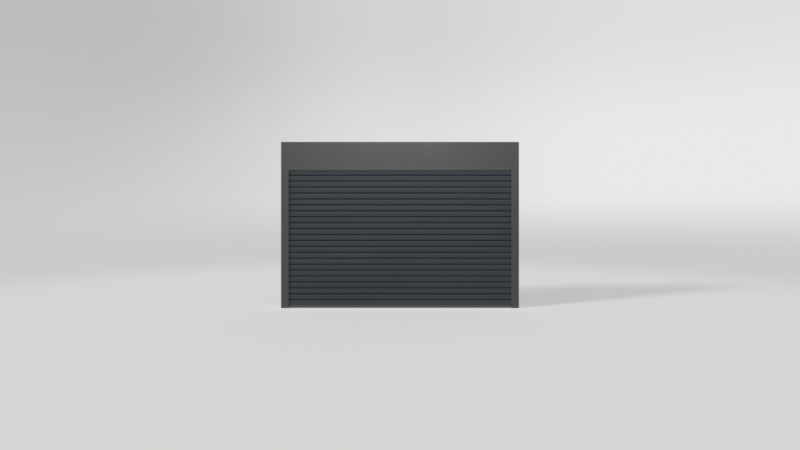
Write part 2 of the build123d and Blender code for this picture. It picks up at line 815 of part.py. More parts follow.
with BuildPart() as motor_bracket:
    with BuildSketch(barrel_plane(plate_inner)):
        bracket_face()
        Circle(stub_radius + running_gap, mode=Mode.SUBTRACT)
    extrude(amount=-bracket_plate)
save(motor_bracket, "motor_bracket")

with BuildPart() as motor_head:
    with BuildSketch(barrel_plane(motor_start)):
        Circle(motor_head_radius)
    extrude(amount=motor_head_length)
    fillet(motor_head.edges().group_by(Axis.X)[0], motor_head_round)
    with BuildSketch(barrel_plane(plate_inner - bracket_plate)):
        Circle(stub_radius)
    extrude(amount=bracket_plate)
save(motor_head, "motor_head")

with BuildPart() as motor_tube:
    with BuildSketch(barrel_plane(motor_start)):
        Circle(motor_radius)
    extrude(amount=-motor_length)
    with BuildSketch(barrel_plane(motor_end)):
        Circle(motor_nose_radius)
    extrude(amount=-motor_nose)
    with BuildSketch(barrel_plane(motor_start)):
        Circle(motor_radius - motor_wall)
    extrude(amount=-motor_length + motor_nose, mode=Mode.SUBTRACT)
    with BuildSketch(barrel_plane(nose_end)):
        Circle(drive_shaft_radius + running_gap)
    extrude(amount=drive_shaft_in_motor + running_gap, mode=Mode.SUBTRACT)
save(motor_tube, "motor_tube")

with BuildPart() as drive_shaft:
    with BuildSketch(barrel_plane(nose_end + drive_shaft_in_motor)):
        Circle(drive_shaft_radius)
        block(
            (-drive_shaft_radius, drive_shaft_radius - shaft_flat),
            (drive_shaft_radius, drive_shaft_radius),
            Mode.SUBTRACT,
        )
    extrude(amount=-drive_shaft_in_motor - running_gap - adapter_length)
save(drive_shaft, "drive_shaft")

with BuildPart() as drive_adapter:
    with BuildSketch(barrel_plane(nose_end - running_gap)):
        octagon(insert_flats)
        ring_radius = (insert_flats / 2 + drive_shaft_radius) / 2
        with PolarLocations(ring_radius, adapter_pocket_count):
            Circle(adapter_pocket_radius, mode=Mode.SUBTRACT)
        with BuildSketch(mode=Mode.PRIVATE) as shaft_bore:
            Circle(drive_shaft_radius + seat_gap)
            block(
                (-drive_shaft_radius, drive_shaft_radius - shaft_flat + seat_gap),
                (drive_shaft_radius, drive_shaft_radius + seat_gap),
                Mode.SUBTRACT,
            )
        add(shaft_bore.sketch, mode=Mode.SUBTRACT)
    extrude(amount=-adapter_length)
save(drive_adapter, "drive_adapter")

with BuildPart() as limit_crown:
    with BuildSketch(barrel_plane(barrel_half)):
        octagon(insert_flats)
    extrude(amount=-crown_length)
    with BuildSketch(barrel_plane(barrel_half)):
        octagon(barrel_flats)
    extrude(amount=crown_flange)
    with BuildSketch(barrel_plane(barrel_half + crown_flange)):
        Circle(motor_radius + running_gap)
    extrude(amount=-crown_flange - crown_length, mode=Mode.SUBTRACT)
save(limit_crown, "limit_crown")


# Hangers: a clip on the barrel and two links down to the top slat's bead

hanger_xs = [share * half_clear for share in hanger_place_shares]
clip_face = barrel_front - clip_plate
pivot = Vector(clip_face - clip_knuckle, barrel_z)
top_bead = Vector(bead_y, top_slat_z + body_height + bead_rise)
knee = Vector(
    top_bead.X + hanger_middle_shares[0] * (pivot.X - top_bead.X),
    top_bead.Y + hanger_middle_shares[1] * (pivot.Y - top_bead.Y),
)
fork = hanger_fork_share * hanger_width
eye_radius = hanger_pin + hanger_pin_gap + hanger_eye_wall


def arm(start, end, thickness):
    """A straight arm between two points of a section, with round ends."""
    way = end - start
    middle = start + way * (1 / 2)
    with Locations(Location((middle.X, middle.Y), math.degrees(math.atan2(way.Y, way.X)))):
        SlotCenterToCenter(way.length, thickness)


def across_hanger(x, width):
    """A section plane at the near side of a piece this wide, centred on x."""
    return across(x - width / 2)


with BuildPart() as hanger_clips:
    for x in hanger_xs:
        with BuildSketch(across_hanger(x, hanger_width)):
            with Locations((clip_face + clip_plate / 2, barrel_z)):
                Rectangle(clip_plate, clip_height)
            with Locations((pivot.X, pivot.Y)):
                Circle(eye_radius)
            block((pivot.X, pivot.Y - eye_radius), (clip_face, pivot.Y + eye_radius))
        extrude(amount=hanger_width)
        with BuildSketch(across_hanger(x, fork)):
            with Locations((pivot.X, pivot.Y)):
                Rectangle(2 * clip_knuckle, 2 * clip_knuckle)
        extrude(amount=fork, mode=Mode.SUBTRACT)
        with BuildSketch(across_hanger(x, hanger_width)):
            with Locations((pivot.X, pivot.Y)):
                Circle(hanger_pin)
        extrude(amount=hanger_width)
save(hanger_clips, "hanger_clips")

with BuildPart() as hanger_links:
    for x in hanger_xs:
        with BuildSketch(across_hanger(x, hanger_width)):
            arm(top_bead, knee, hanger_link_thickness)
            with Locations((top_bead.X, top_bead.Y)):
                Circle(socket_radius + hanger_socket_wall)
            with Locations((knee.X, knee.Y)):
                Circle(eye_radius)
            with Locations((top_bead.X, top_bead.Y)):
                Circle(socket_radius, mode=Mode.SUBTRACT)
            slot = bead_neck / 2 + bead_swing_room
            block((top_bead.X - slot, top_bead.Y - bead_rise), (top_bead.X + slot, top_bead.Y), Mode.SUBTRACT)
        extrude(amount=hanger_width)
        with BuildSketch(across_hanger(x, fork)):
            with Locations((knee.X, knee.Y)):
                Circle(eye_radius + hanger_fork_gap)
        extrude(amount=fork, mode=Mode.SUBTRACT)
        with BuildSketch(across_hanger(x, hanger_width)):
            with Locations((knee.X, knee.Y)):
                Circle(hanger_pin)
        extrude(amount=hanger_width)
    for x in hanger_xs:
        inner = fork - 2 * hanger_fork_gap
        with BuildPart(mode=Mode.PRIVATE) as upper_link:
            with BuildSketch(across_hanger(x, inner)):
                arm(knee, pivot, hanger_link_thickness)
                with Locations((knee.X, knee.Y), (pivot.X, pivot.Y)):
                    Circle(eye_radius)
                with Locations((knee.X, knee.Y), (pivot.X, pivot.Y)):
                    Circle(hanger_pin + hanger_pin_gap, mode=Mode.SUBTRACT)
            extrude(amount=inner)
        add(upper_link.part)
save(hanger_links, "hanger_links")

print(len(finished), "pieces")
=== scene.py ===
import math

import bmesh
import bpy
from mathutils import Matrix, Vector


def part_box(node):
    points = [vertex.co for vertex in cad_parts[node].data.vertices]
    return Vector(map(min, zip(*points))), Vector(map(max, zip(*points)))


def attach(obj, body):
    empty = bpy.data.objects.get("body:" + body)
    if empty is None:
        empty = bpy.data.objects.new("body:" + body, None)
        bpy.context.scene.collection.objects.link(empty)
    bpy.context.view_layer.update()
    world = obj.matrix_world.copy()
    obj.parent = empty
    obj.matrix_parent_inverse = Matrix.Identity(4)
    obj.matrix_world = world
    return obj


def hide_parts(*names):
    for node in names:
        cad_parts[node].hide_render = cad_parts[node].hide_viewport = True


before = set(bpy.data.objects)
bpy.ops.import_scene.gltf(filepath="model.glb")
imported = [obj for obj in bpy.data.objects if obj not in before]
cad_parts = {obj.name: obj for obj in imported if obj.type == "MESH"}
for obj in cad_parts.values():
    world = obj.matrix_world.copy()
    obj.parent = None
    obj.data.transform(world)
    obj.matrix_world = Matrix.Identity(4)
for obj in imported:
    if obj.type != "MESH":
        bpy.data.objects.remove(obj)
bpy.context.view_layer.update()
print("frame loaded:", len(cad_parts), "nodes")

mm = 0.001

# the door's own sizes, in metres, as the CAD model has them
door = {
    "halfWidth": 1.542,
    "front": -0.180,
    "rear": 0.180,
    "opening": 1.784,
    "top": 2.154,
    "curtainY": -0.158,
    "firstSlat": 0.110,
    "pitch": 0.077,
    "slatCount": 23,
    "slatLength": 2.988,
}
slatSeam = 9 * mm
slatHalf = 9.5 * mm
slatEnd = door["slatLength"] / 2


def tone(red, green, blue):  # a colour as a paint chart gives it, 0 to 255, made linear
    def one(value):
        share = value / 255
        return share / 12.92 if share <= 0.04045 else ((share + 0.055) / 1.055) ** 2.4

    return (one(red), one(green), one(blue), 1.0)


# camera and light

view = {"distance": 6.255, "height": 1.0768, "lens": 21.71, "sensor": 36, "tilt": 90}

camera = bpy.data.objects.new("photoCamera", bpy.data.cameras.new("photoCamera"))
camera.data.lens = view["lens"]
camera.data.sensor_width = view["sensor"]
camera.location = (0, door["front"] - view["distance"], view["height"])
camera.rotation_euler = (math.radians(view["tilt"]), 0, 0)
bpy.context.scene.collection.objects.link(camera)
bpy.context.scene.camera = camera
bpy.context.scene.view_settings.view_transform = "Standard"

lamps = {
    "keyTravel": (4.3, 2.05, -2.154),
    "keyStrength": 1.9,
    "keyAngle": 11.0,
    "fillAngle": 2.0,
    "frontFill": ((-0.25, 2.0, -0.06), 1.015),
    "rearFill": ((-1.8, -2.0, -0.03), 1.5),
    "boxPlace": (0, -7.6, 5.45),
    "boxAim": (0, 0, 1.9),
    "boxWide": 3.4,
    "boxHigh": 0.8,
    "boxPower": 620,
}

key = bpy.data.objects.new("keySun", bpy.data.lights.new("keySun", "SUN"))
key.data.energy = lamps["keyStrength"]
key.data.angle = math.radians(lamps["keyAngle"])
key.rotation_euler = Vector(lamps["keyTravel"]).to_track_quat("-Z", "Y").to_euler()
softBox = bpy.data.objects.new("frontSoftBox", bpy.data.lights.new("frontSoftBox", "AREA"))
softBox.data.shape = "RECTANGLE"
softBox.data.size = lamps["boxWide"]
softBox.data.size_y = lamps["boxHigh"]
softBox.data.energy = lamps["boxPower"]
softBox.location = lamps["boxPlace"]
boxWay = Vector(lamps["boxAim"]) - Vector(lamps["boxPlace"])
softBox.rotation_euler = boxWay.to_track_quat("-Z", "Y").to_euler()
softBox.visible_diffuse = False  # it only draws the sheen down the painted fronts
for lamp in (key, softBox):
    bpy.context.scene.collection.objects.link(lamp)
for name in ("frontFill", "rearFill"):  # level light lifts upright faces and leaves the floor alone
    travel, strength = lamps[name]
    fill = bpy.data.objects.new(name, bpy.data.lights.new(name, "SUN"))
    fill.data.energy = strength
    fill.data.angle = math.radians(lamps["fillAngle"])
    fill.rotation_euler = Vector(travel).to_track_quat("-Z", "Y").to_euler()
    fill.visible_glossy = False
    bpy.context.scene.collection.objects.link(fill)


# node helpers

def addNode(tree, kind, values=None, **settings):
    node = tree.nodes.new("ShaderNode" + kind)
    for name, value in settings.items():
        setattr(node, name, value)
    for name, value in (values or {}).items():
        socket = node.inputs[name]
        if isinstance(value, bpy.types.NodeSocket):
            tree.links.new(value, socket)
        else:
            socket.default_value = value
    return node


def maths(tree, operation, first, second=0.0, clamp=False):
    values = {0: first, 1: second}
    return addNode(tree, "Math", values, operation=operation, use_clamp=clamp).outputs[0]


def vectorMaths(tree, operation, first, second):
    return addNode(tree, "VectorMath", {0: first, 1: second}, operation=operation).outputs[0]


def ranged(tree, value, low, high, toLow=0.0, toHigh=1.0, kind="SMOOTHSTEP"):
    ends = {"From Min": low, "From Max": high, "To Min": toLow, "To Max": toHigh}
    return addNode(tree, "MapRange", {"Value": value, **ends}, interpolation_type=kind).outputs[0]


def mixed(tree, factor, first, second):
    return addNode(tree, "Mix", {0: factor, 6: first, 7: second}, data_type="RGBA").outputs[2]


def blended(tree, factor, first, second):
    return addNode(tree, "Mix", {0: factor, 2: first, 3: second}, data_type="FLOAT").outputs[0]


def noise(tree, vector, scale, detail, roughness=0.5):
    values = {"Vector": vector, "Scale": scale, "Detail": detail, "Roughness": roughness}
    return addNode(tree, "TexNoise", values).outputs[0]


def stretched(tree, vector, scale):
    return addNode(tree, "Mapping", {"Vector": vector, "Scale": scale}).outputs[0]


def newGroup(name, inputs, outputs):
    tree = bpy.data.node_groups.new(name, "ShaderNodeTree")
    kinds = {"f": "NodeSocketFloat", "v": "NodeSocketVector"}
    for label, kind, value in inputs:
        socket = tree.interface.new_socket(name=label, in_out="INPUT", socket_type=kinds[kind])
        if value is not None:
            socket.default_value = value
    for label, kind in outputs:
        tree.interface.new_socket(name=label, in_out="OUTPUT", socket_type=kinds[kind])
    return tree, tree.nodes.new("NodeGroupInput"), tree.nodes.new("NodeGroupOutput")


def useGroup(tree, group, values):
    return addNode(tree, "Group", values, node_tree=group)


def newMask(name, *inputs):  # a group that tells for each place how much of an effect is there
    return newGroup(name, [("Place", "v", None), *inputs], [("Mask", "f")])


def giveMask(tree, inside, out, mask):
    given = maths(tree, "MULTIPLY", mask, inside.outputs["Amount"], True)
    tree.links.new(given, out.inputs["Mask"])
    return tree


# effects that several finishes share; a noise is given by its scale, detail and roughness,
# and its values lie mostly within midTones

midTones = (0.3, 0.7)
usualAmount = ("Amount", "f", 0.5)
coatTexture = {"pebble": 900.0, "peel": 70.0, "peelShare": 0.5, "slow": (1.7, 3.0, 0.6)}
dieMarks = (1.0, 4.0, 0.7)
dustFall = {"facing": (0.15, 0.95), "patches": (6.0, 4.0, 0.65), "thin": 0.45}
splashes = {
    "reach": 0.28,
    "waver": (5.0, 4.0, 0.6),
    "drops": (420.0, 3.0, 0.6),
    "dropEdge": (0.45, 0.72),
    "film": 0.35,
}
cornerRub = {"width": 3 * mm, "patches": (38.0, 4.0, 0.7), "patchEdge": (0.5, 0.72)}
# where the painted shade lies: a band about each seam, darker deeper in from the slats' front faces
seamShadeLine = {
    "drop": 2.2 * mm,
    "outer": 4 * mm,
    "inner": 1.5 * mm,
    "depth": (0.8 * mm, 2.8 * mm),
    "amount": 0.9,
}
scratchLines = {
    "families": ((0.5, 26.0), (-0.9, 31.0)),
    "stretch": 22.0,
    "edge": (0.735, 0.78),
    "amount": 0.4,
}


def makeCoatGrain():  # the fine pebble and slow orange peel of baked powder
    pebbleScale, peelScale = coatTexture["pebble"], coatTexture["peel"]
    tree, inside, out = newGroup(
        "coatGrain",
        [("Place", "v", None), ("Pebble", "f", pebbleScale), ("Peel", "f", peelScale)],
        [("Height", "f"), ("Mottle", "f")],
    )
    pebble = noise(tree, inside.outputs["Place"], inside.outputs["Pebble"], 1.0)
    peel = noise(tree, inside.outputs["Place"], inside.outputs["Peel"], 2.0)
    height = maths(tree, "ADD", pebble, maths(tree, "MULTIPLY", peel, coatTexture["peelShare"]))
    tree.links.new(height, out.inputs["Height"])
    slow = noise(tree, inside.outputs["Place"], *coatTexture["slow"])
    tree.links.new(slow, out.inputs["Mottle"])
    return tree


def makeDieLines():  # faint lines that the extrusion die draws along a profile
    tree, inside, out = newGroup(
        "dieLines", [("Place", "v", None), ("Stretch", "v", (1.0, 1.0, 1.0))], [("Lines", "f")]
    )
    scaled = vectorMaths(tree, "MULTIPLY", inside.outputs["Place"], inside.outputs["Stretch"])
    tree.links.new(noise(tree, scaled, *dieMarks), out.inputs["Lines"])
    return tree


def makeSettledDust():  # dust on what faces up, more in broken patches
    tree, inside, out = newMask("settledDust", usualAmount)
    normal = addNode(tree, "NewGeometry").outputs["Normal"]
    up = addNode(tree, "SeparateXYZ", {"Vector": normal}).outputs["Z"]
    facing = ranged(tree, up, *dustFall["facing"])
    broken = noise(tree, inside.outputs["Place"], *dustFall["patches"])
    patches = ranged(tree, broken, *midTones, dustFall["thin"], 1.0)
    return giveMask(tree, inside, out, maths(tree, "MULTIPLY", facing, patches))


def makeFloorSplash():  # dried splashes and grit that reach a hand's breadth above the floor
    tree, inside, out = newMask("floorSplash", ("Reach", "f", splashes["reach"]), usualAmount)
    height = addNode(tree, "SeparateXYZ", {"Vector": inside.outputs["Place"]}).outputs["Z"]
    waver = noise(tree, inside.outputs["Place"], *splashes["waver"])
    reach = maths(tree, "MULTIPLY", inside.outputs["Reach"], waver)
    low = ranged(tree, height, 0.0, reach, 1.0, 0.0)
    grit = noise(tree, inside.outputs["Place"], *splashes["drops"])
    drops = ranged(tree, grit, *splashes["dropEdge"])
    speckle = maths(tree, "ADD", drops, splashes["film"], True)
    return giveMask(tree, inside, out, maths(tree, "MULTIPLY", low, speckle))


def makeCornerWear():  # paint rubbed thin along the edges of a square-cut piece, told by its box
    box = (("Low", "v", (0.0, 0.0, 0.0)), ("High", "v", (1.0, 1.0, 1.0)))
    tree, inside, out = newMask("cornerWear", *box, usualAmount)
    fromLow = vectorMaths(tree, "SUBTRACT", inside.outputs["Place"], inside.outputs["Low"])
    fromHigh = vectorMaths(tree, "SUBTRACT", inside.outputs["High"], inside.outputs["Place"])
    nearest = vectorMaths(tree, "MINIMUM", fromLow, fromHigh)
    parts = addNode(tree, "SeparateXYZ", {"Vector": nearest}).outputs
    beside = [ranged(tree, parts[axis], 0.0, cornerRub["width"], 1.0, 0.0) for axis in range(3)]
    pairs = [maths(tree, "MULTIPLY", beside[a], beside[b]) for a, b in ((0, 1), (1, 2), (0, 2))]
    edge = maths(tree, "MAXIMUM", maths(tree, "MAXIMUM", pairs[0], pairs[1]), pairs[2])
    broken = noise(tree, inside.outputs["Place"], *cornerRub["patches"])
    patches = ranged(tree, broken, *cornerRub["patchEdge"])
    return giveMask(tree, inside, out, maths(tree, "MULTIPLY", edge, patches))


def makeSeamShade():  # painted shade on the beads and in the seams between slats, and over the rounded corners beside them
    tree, inside, out = newMask("seamShade", ("Amount", "f", seamShadeLine["amount"]))
    parts = addNode(tree, "SeparateXYZ", {"Vector": inside.outputs["Place"]}).outputs
    # the painted shade reaches over each slat's top edge, so its middle lies below the seam's own
    half = slatSeam / 2
    up = maths(tree, "SUBTRACT", parts["Z"], door["firstSlat"] - half - seamShadeLine["drop"])
    toSeam = maths(tree, "PINGPONG", up, door["pitch"] / 2)
    inSeam = ranged(tree, toSeam, half + seamShadeLine["outer"], half + seamShadeLine["inner"])
    front = door["curtainY"] - slatHalf
    deep = ranged(tree, parts["Y"], *[front + depth for depth in seamShadeLine["depth"]])
    return giveMask(tree, inside, out, maths(tree, "MULTIPLY", inSeam, deep))


def makeFineScratches():  # short handling marks, two crossing families
    tree, inside, out = newMask("fineScratches", ("Amount", "f", scratchLines["amount"]))
    families = []
    for turn, scale in scratchLines["families"]:
        turning = {"Rotation": (turn, turn, turn), "Scale": (1.0, 1.0, scratchLines["stretch"])}
        turned = addNode(tree, "Mapping", {"Vector": inside.outputs["Place"], **turning}).outputs[0]
        families.append(ranged(tree, noise(tree, turned, scale, 1.0), *scratchLines["edge"]))
    return giveMask(tree, inside, out, maths(tree, "MAXIMUM", *families))


coatGrain = makeCoatGrain()
dieLines = makeDieLines()
settledDust = makeSettledDust()
floorSplash = makeFloorSplash()
cornerWear = makeCornerWear()
fineScratches = makeFineScratches()
seamShade = makeSeamShade()


# finishes

def startMaterial(name):
    material = bpy.data.materials.new(name)
    material.use_nodes = True
    tree = material.node_tree
    tree.nodes.clear()
    shader = tree.nodes.new("ShaderNodeBsdfPrincipled")
    out = tree.nodes.new("ShaderNodeOutputMaterial")
    tree.links.new(shader.outputs[0], out.inputs["Surface"])
    place = addNode(tree, "TexCoord").outputs["Object"]
    return material, tree, shader, place


def setBump(tree, shader, height, strength, distance):
    bump = addNode(tree, "Bump", {"Strength": strength, "Distance": distance, "Height": height})
    tree.links.new(bump.outputs[0], shader.inputs["Normal"])


# what every coated face has; bump depths are in metres
coatFace = {
    "lineTone": 0.25,
    "lineHeight": 0.4,
    "roughSpread": 0.03,
    "dirtRough": 0.3,
    "scratchShine": 0.08,
    "wearDepth": 0.6,
    "depth": 0.1 * mm,
}

framePaint = {
    "colour": tone(62.8, 63.5, 61.2),
    "lighter": tone(65.8, 66.5, 64.2),
    "bare": tone(150, 150, 148),
    "dust": tone(150, 146, 138),
    "roughness": 0.5,
    "specular": 0.35,
    "grain": 0.12,
    "wear": 0.35,
    "topDust": 0.2,
    "splash": 0.05,
}

slatPaint = {
    "colour": tone(50.6, 58.3, 62.7),
    "lighter": tone(54.6, 62.3, 66.7),
    "bare": tone(140, 142, 143),
    "dust": tone(135, 132, 126),
    # near-black tone painted into the seams between slats as shade
    "paintedShade": tone(13, 17, 19),
    "roughness": 0.56,
    "specular": 0.17,
    "grain": 0.12,
    "wear": 0.25,
    "topDust": 0.2,
    "splash": 0.03,
}


def powderCoat(name, paint, box, along):
    material, tree, shader, place = startMaterial(name)
    grain = useGroup(tree, coatGrain, {"Place": place})
    lines = useGroup(tree, dieLines, {"Place": place, "Stretch": along})
    mottle = ranged(tree, grain.outputs["Mottle"], *midTones)
    colour = mixed(tree, mottle, paint["colour"], paint["lighter"])
    lineTone = ranged(tree, lines.outputs["Lines"], *midTones, 0.0, coatFace["lineTone"])
    colour = mixed(tree, lineTone, colour, paint["lighter"])
    dust = useGroup(tree, settledDust, {"Place": place, "Amount": paint["topDust"]}).outputs[0]
    splash = useGroup(tree, floorSplash, {"Place": place, "Amount": paint["splash"]}).outputs[0]
    dirt = maths(tree, "MAXIMUM", dust, splash)
    colour = mixed(tree, dirt, colour, paint["dust"])
    # painted shade: the seams and the slat corners beside them are darkened where shade falls
    if "paintedShade" in paint:
        paintedShade = useGroup(tree, seamShade, {"Place": place}).outputs[0]
        colour = mixed(tree, paintedShade, colour, paint["paintedShade"])
    rubbed = {"Place": place, "Low": box[0], "High": box[1], "Amount": paint["wear"]}
    wear = useGroup(tree, cornerWear, rubbed).outputs[0]
    colour = mixed(tree, wear, colour, paint["bare"])
    tree.links.new(colour, shader.inputs["Base Color"])
    scratches = useGroup(tree, fineScratches, {"Place": place}).outputs[0]
    usual, change = paint["roughness"], coatFace["roughSpread"]
    rough = ranged(tree, grain.outputs["Mottle"], *midTones, usual - change, usual + change)
    rough = maths(tree, "ADD", rough, maths(tree, "MULTIPLY", dirt, coatFace["dirtRough"]))
    shine = maths(tree, "MULTIPLY", scratches, coatFace["scratchShine"])
    rough = maths(tree, "SUBTRACT", rough, shine)
    tree.links.new(rough, shader.inputs["Roughness"])
    shader.inputs["Specular IOR Level"].default_value = paint["specular"]
    lined = maths(tree, "MULTIPLY", lines.outputs["Lines"], coatFace["lineHeight"])
    height = maths(tree, "ADD", grain.outputs["Height"], lined)
    height = maths(tree, "SUBTRACT", height, maths(tree, "MULTIPLY", wear, coatFace["wearDepth"]))
    setBump(tree, shader, height, paint["grain"], coatFace["depth"])
    return material


# metals are bare or zinc-coated; stretch draws out their turning marks
metals = {
    "castAlloy": {
        "colour": tone(182, 184, 186),
        "dark": tone(150, 152, 154),
        "roughness": 0.5,
        "scale": 320.0,
        "stretch": (1.0, 1.0, 1.0),
        "bump": 0.35,
    },
    "brightSteel": {
        "colour": tone(190, 190, 191),
        "dark": tone(160, 160, 162),
        "roughness": 0.28,
        "scale": 60.0,
        "stretch": (22.0, 1.0, 1.0),
        "bump": 0.1,
    },
    "galvanised": {
        "colour": tone(176, 180, 184),
        "dark": tone(150, 155, 160),
        "roughness": 0.42,
        "scale": 68.0,
        "stretch": (1.0, 1.0, 1.0),
        "bump": 0.1,
    },
}
metalFace = {
    "metallic": 0.95,
    "flakeNoise": (4.0, 0.7),
    "flakes": (0.2, 0.8),
    "darkRough": 0.1,
    "lightRough": 0.05,
}
paleDust = {"colour": tone(140, 137, 130), "metal": 0.25, "motor": 0.3, "rough": 0.4}


def bareMetal(name, metal):
    material, tree, shader, place = startMaterial(name)
    drawn = stretched(tree, place, metal["stretch"])
    if name == "galvanised":
        cells = addNode(tree, "TexVoronoi", {"Vector": drawn, "Scale": metal["scale"]})
        flake = addNode(tree, "SeparateColor", {"Color": cells.outputs["Color"]}).outputs[0]
    else:
        flake = noise(tree, drawn, metal["scale"], *metalFace["flakeNoise"])
    colour = mixed(tree, ranged(tree, flake, *metalFace["flakes"]), metal["dark"], metal["colour"])
    dust = useGroup(tree, settledDust, {"Place": place, "Amount": paleDust["metal"]}).outputs[0]
    colour = mixed(tree, dust, colour, paleDust["colour"])
    tree.links.new(colour, shader.inputs["Base Color"])
    shader.inputs["Metallic"].default_value = metalFace["metallic"]
    atDark = metal["roughness"] + metalFace["darkRough"]
    atLight = metal["roughness"] - metalFace["lightRough"]
    rough = ranged(tree, flake, *metalFace["flakes"], atDark, atLight)
    dusted = maths(tree, "ADD", rough, maths(tree, "MULTIPLY", dust, paleDust["rough"]))
    tree.links.new(dusted, shader.inputs["Roughness"])
    setBump(tree, shader, flake, metal["bump"], coatFace["depth"])
    return material


plastics = {
    "slidePlastic": {
        "colour": tone(40, 40, 41),
        "worn": tone(62, 62, 62),
        "roughness": 0.55,
        "specular": 0.4,
        "scale": 500.0,
    },
    "mouldedPlastic": {
        "colour": tone(66, 67, 68),
        "worn": tone(84, 85, 86),
        "roughness": 0.5,
        "specular": 0.45,
        "scale": 700.0,
    },
}
plasticFace = {
    "peel": 40.0,
    "dust": 0.3,
    "dustColour": tone(128, 125, 119),
    "scratches": 0.6,
    "spread": 0.05,
    "grain": 0.25,
}


def mouldedPlastic(name, plastic):
    material, tree, shader, place = startMaterial(name)
    texture = {"Place": place, "Pebble": plastic["scale"], "Peel": plasticFace["peel"]}
    grain = useGroup(tree, coatGrain, texture)
    dust = useGroup(tree, settledDust, {"Place": place, "Amount": plasticFace["dust"]}).outputs[0]
    marks = {"Place": place, "Amount": plasticFace["scratches"]}
    scratches = useGroup(tree, fineScratches, marks).outputs[0]
    colour = mixed(tree, scratches, plastic["colour"], plastic["worn"])
    colour = mixed(tree, dust, colour, plasticFace["dustColour"])
    tree.links.new(colour, shader.inputs["Base Color"])
    usual, change = plastic["roughness"], plasticFace["spread"]
    rough = ranged(tree, grain.outputs["Mottle"], *midTones, usual - change, usual + change)
    tree.links.new(rough, shader.inputs["Roughness"])
    shader.inputs["Specular IOR Level"].default_value = plastic["specular"]
    setBump(tree, shader, grain.outputs["Height"], plasticFace["grain"], coatFace["depth"])
    return material


rubber = {
    "colour": tone(72, 74, 76),
    "bloom": tone(80, 81, 83),
    "bloomNoise": (9.0, 5.0, 0.65),
    "bloomEdge": (0.4, 0.7),
    "bloomMost": 0.6,
    "dust": tone(130, 127, 120),
    "splashReach": 0.06,
    "splash": 0.2,
    "roughness": 0.7,
    "bloomRough": 0.12,
    "specular": 0.35,
    "pebble": 1200.0,
    "peel": 25.0,
    "drawn": (1.5, 400.0, 400.0),
    "grain": 0.3,
    "depth": 0.15 * mm,
}


def edgeRubber(name):
    material, tree, shader, place = startMaterial(name)
    texture = {"Place": place, "Pebble": rubber["pebble"], "Peel": rubber["peel"]}
    grain = useGroup(tree, coatGrain, texture)
    lines = useGroup(tree, dieLines, {"Place": place, "Stretch": rubber["drawn"]})
    cloudy = noise(tree, place, *rubber["bloomNoise"])
    bloom = ranged(tree, cloudy, *rubber["bloomEdge"], 0.0, rubber["bloomMost"])
    colour = mixed(tree, bloom, rubber["colour"], rubber["bloom"])
    splashed = {"Place": place, "Reach": rubber["splashReach"], "Amount": rubber["splash"]}
    splash = useGroup(tree, floorSplash, splashed).outputs[0]
    colour = mixed(tree, splash, colour, rubber["dust"])
    tree.links.new(colour, shader.inputs["Base Color"])
    least, most = rubber["roughness"], rubber["roughness"] + rubber["bloomRough"]
    rough = ranged(tree, bloom, 0.0, rubber["bloomMost"], least, most)
    tree.links.new(rough, shader.inputs["Roughness"])
    shader.inputs["Specular IOR Level"].default_value = rubber["specular"]
    height = maths(tree, "ADD", grain.outputs["Height"], lines.outputs["Lines"])
    setBump(tree, shader, height, rubber["grain"], rubber["depth"])
    return material


motorPaint = {
    "colour": tone(196, 198, 200),
    "lighter": tone(204, 205, 206),
    "roughness": 0.35,
    "grain": 0.05,
}


def motorCoat(name):
    material, tree, shader, place = startMaterial(name)
    grain = useGroup(tree, coatGrain, {"Place": place})
    mottle = ranged(tree, grain.outputs["Mottle"], *midTones)
    colour = mixed(tree, mottle, motorPaint["colour"], motorPaint["lighter"])
    dust = useGroup(tree, settledDust, {"Place": place, "Amount": paleDust["motor"]}).outputs[0]
    colour = mixed(tree, dust, colour, paleDust["colour"])
    tree.links.new(colour, shader.inputs["Base Color"])
    shader.inputs["Roughness"].default_value = motorPaint["roughness"]
    setBump(tree, shader, grain.outputs["Height"], motorPaint["grain"], coatFace["depth"])
    return material


# which way a profile's die lines run; on bent sheet they run no way
alongX = (1.5, 260.0, 260.0)
alongZ = (260.0, 260.0, 1.5)
sheet = (3.0, 3.0, 3.0)

slidePlastic = mouldedPlastic("slidePlastic", plastics["slidePlastic"])
funnelPlastic = mouldedPlastic("mouldedPlastic", plastics["mouldedPlastic"])
castAlloy = bareMetal("castAlloy", metals["castAlloy"])
brightSteel = bareMetal("brightSteel", metals["brightSteel"])
galvanised = bareMetal("galvanised", metals["galvanised"])
sealRubber = edgeRubber("sealRubber")
tubeCoat = motorCoat("tubeCoat")

print("finishes made")


# mesh helpers

# how finely round shapes are divided; arcs from longArc up are the slats' shallow crowns
fineness = {
    "longArc": 30 * mm,
    "longSteps": 18,
    "leastSteps": 4,
    "stepTurn": 9,
    "corner": 4,
    "roundHole": 24,
}
shade = {"sharp": 28, "weight": 100}


def spinArc(bm, plane, centre, radius, start, sweep):  # an arc's corners, by spinning one vertex
    steps = max(fineness["leastSteps"], round(abs(sweep) / fineness["stepTurn"]))
    if radius > fineness["longArc"]:
        steps = fineness["longSteps"]
    turn, angle = math.radians(start), math.radians(sweep)
    y, z = centre
    vertex = bm.verts.new((plane, y + radius * math.cos(turn), z + radius * math.sin(turn)))
    bmesh.ops.spin(
        bm,
        geom=[vertex],
        cent=(plane, y, z),
        axis=(1, 0, 0),
        angle=angle,
        steps=steps,
        use_merge=False,
    )
    made = [vertex]
    while onward := [v for e in made[-1].link_edges for v in e.verts if v not in made]:
        made.append(onward[0])
    return made


def roundOff(bm, geom, radius, kind, steps):
    bmesh.ops.bevel(
        bm, geom=geom, offset=radius, affect=kind, segments=steps, profile=0.5, material=-1
    )


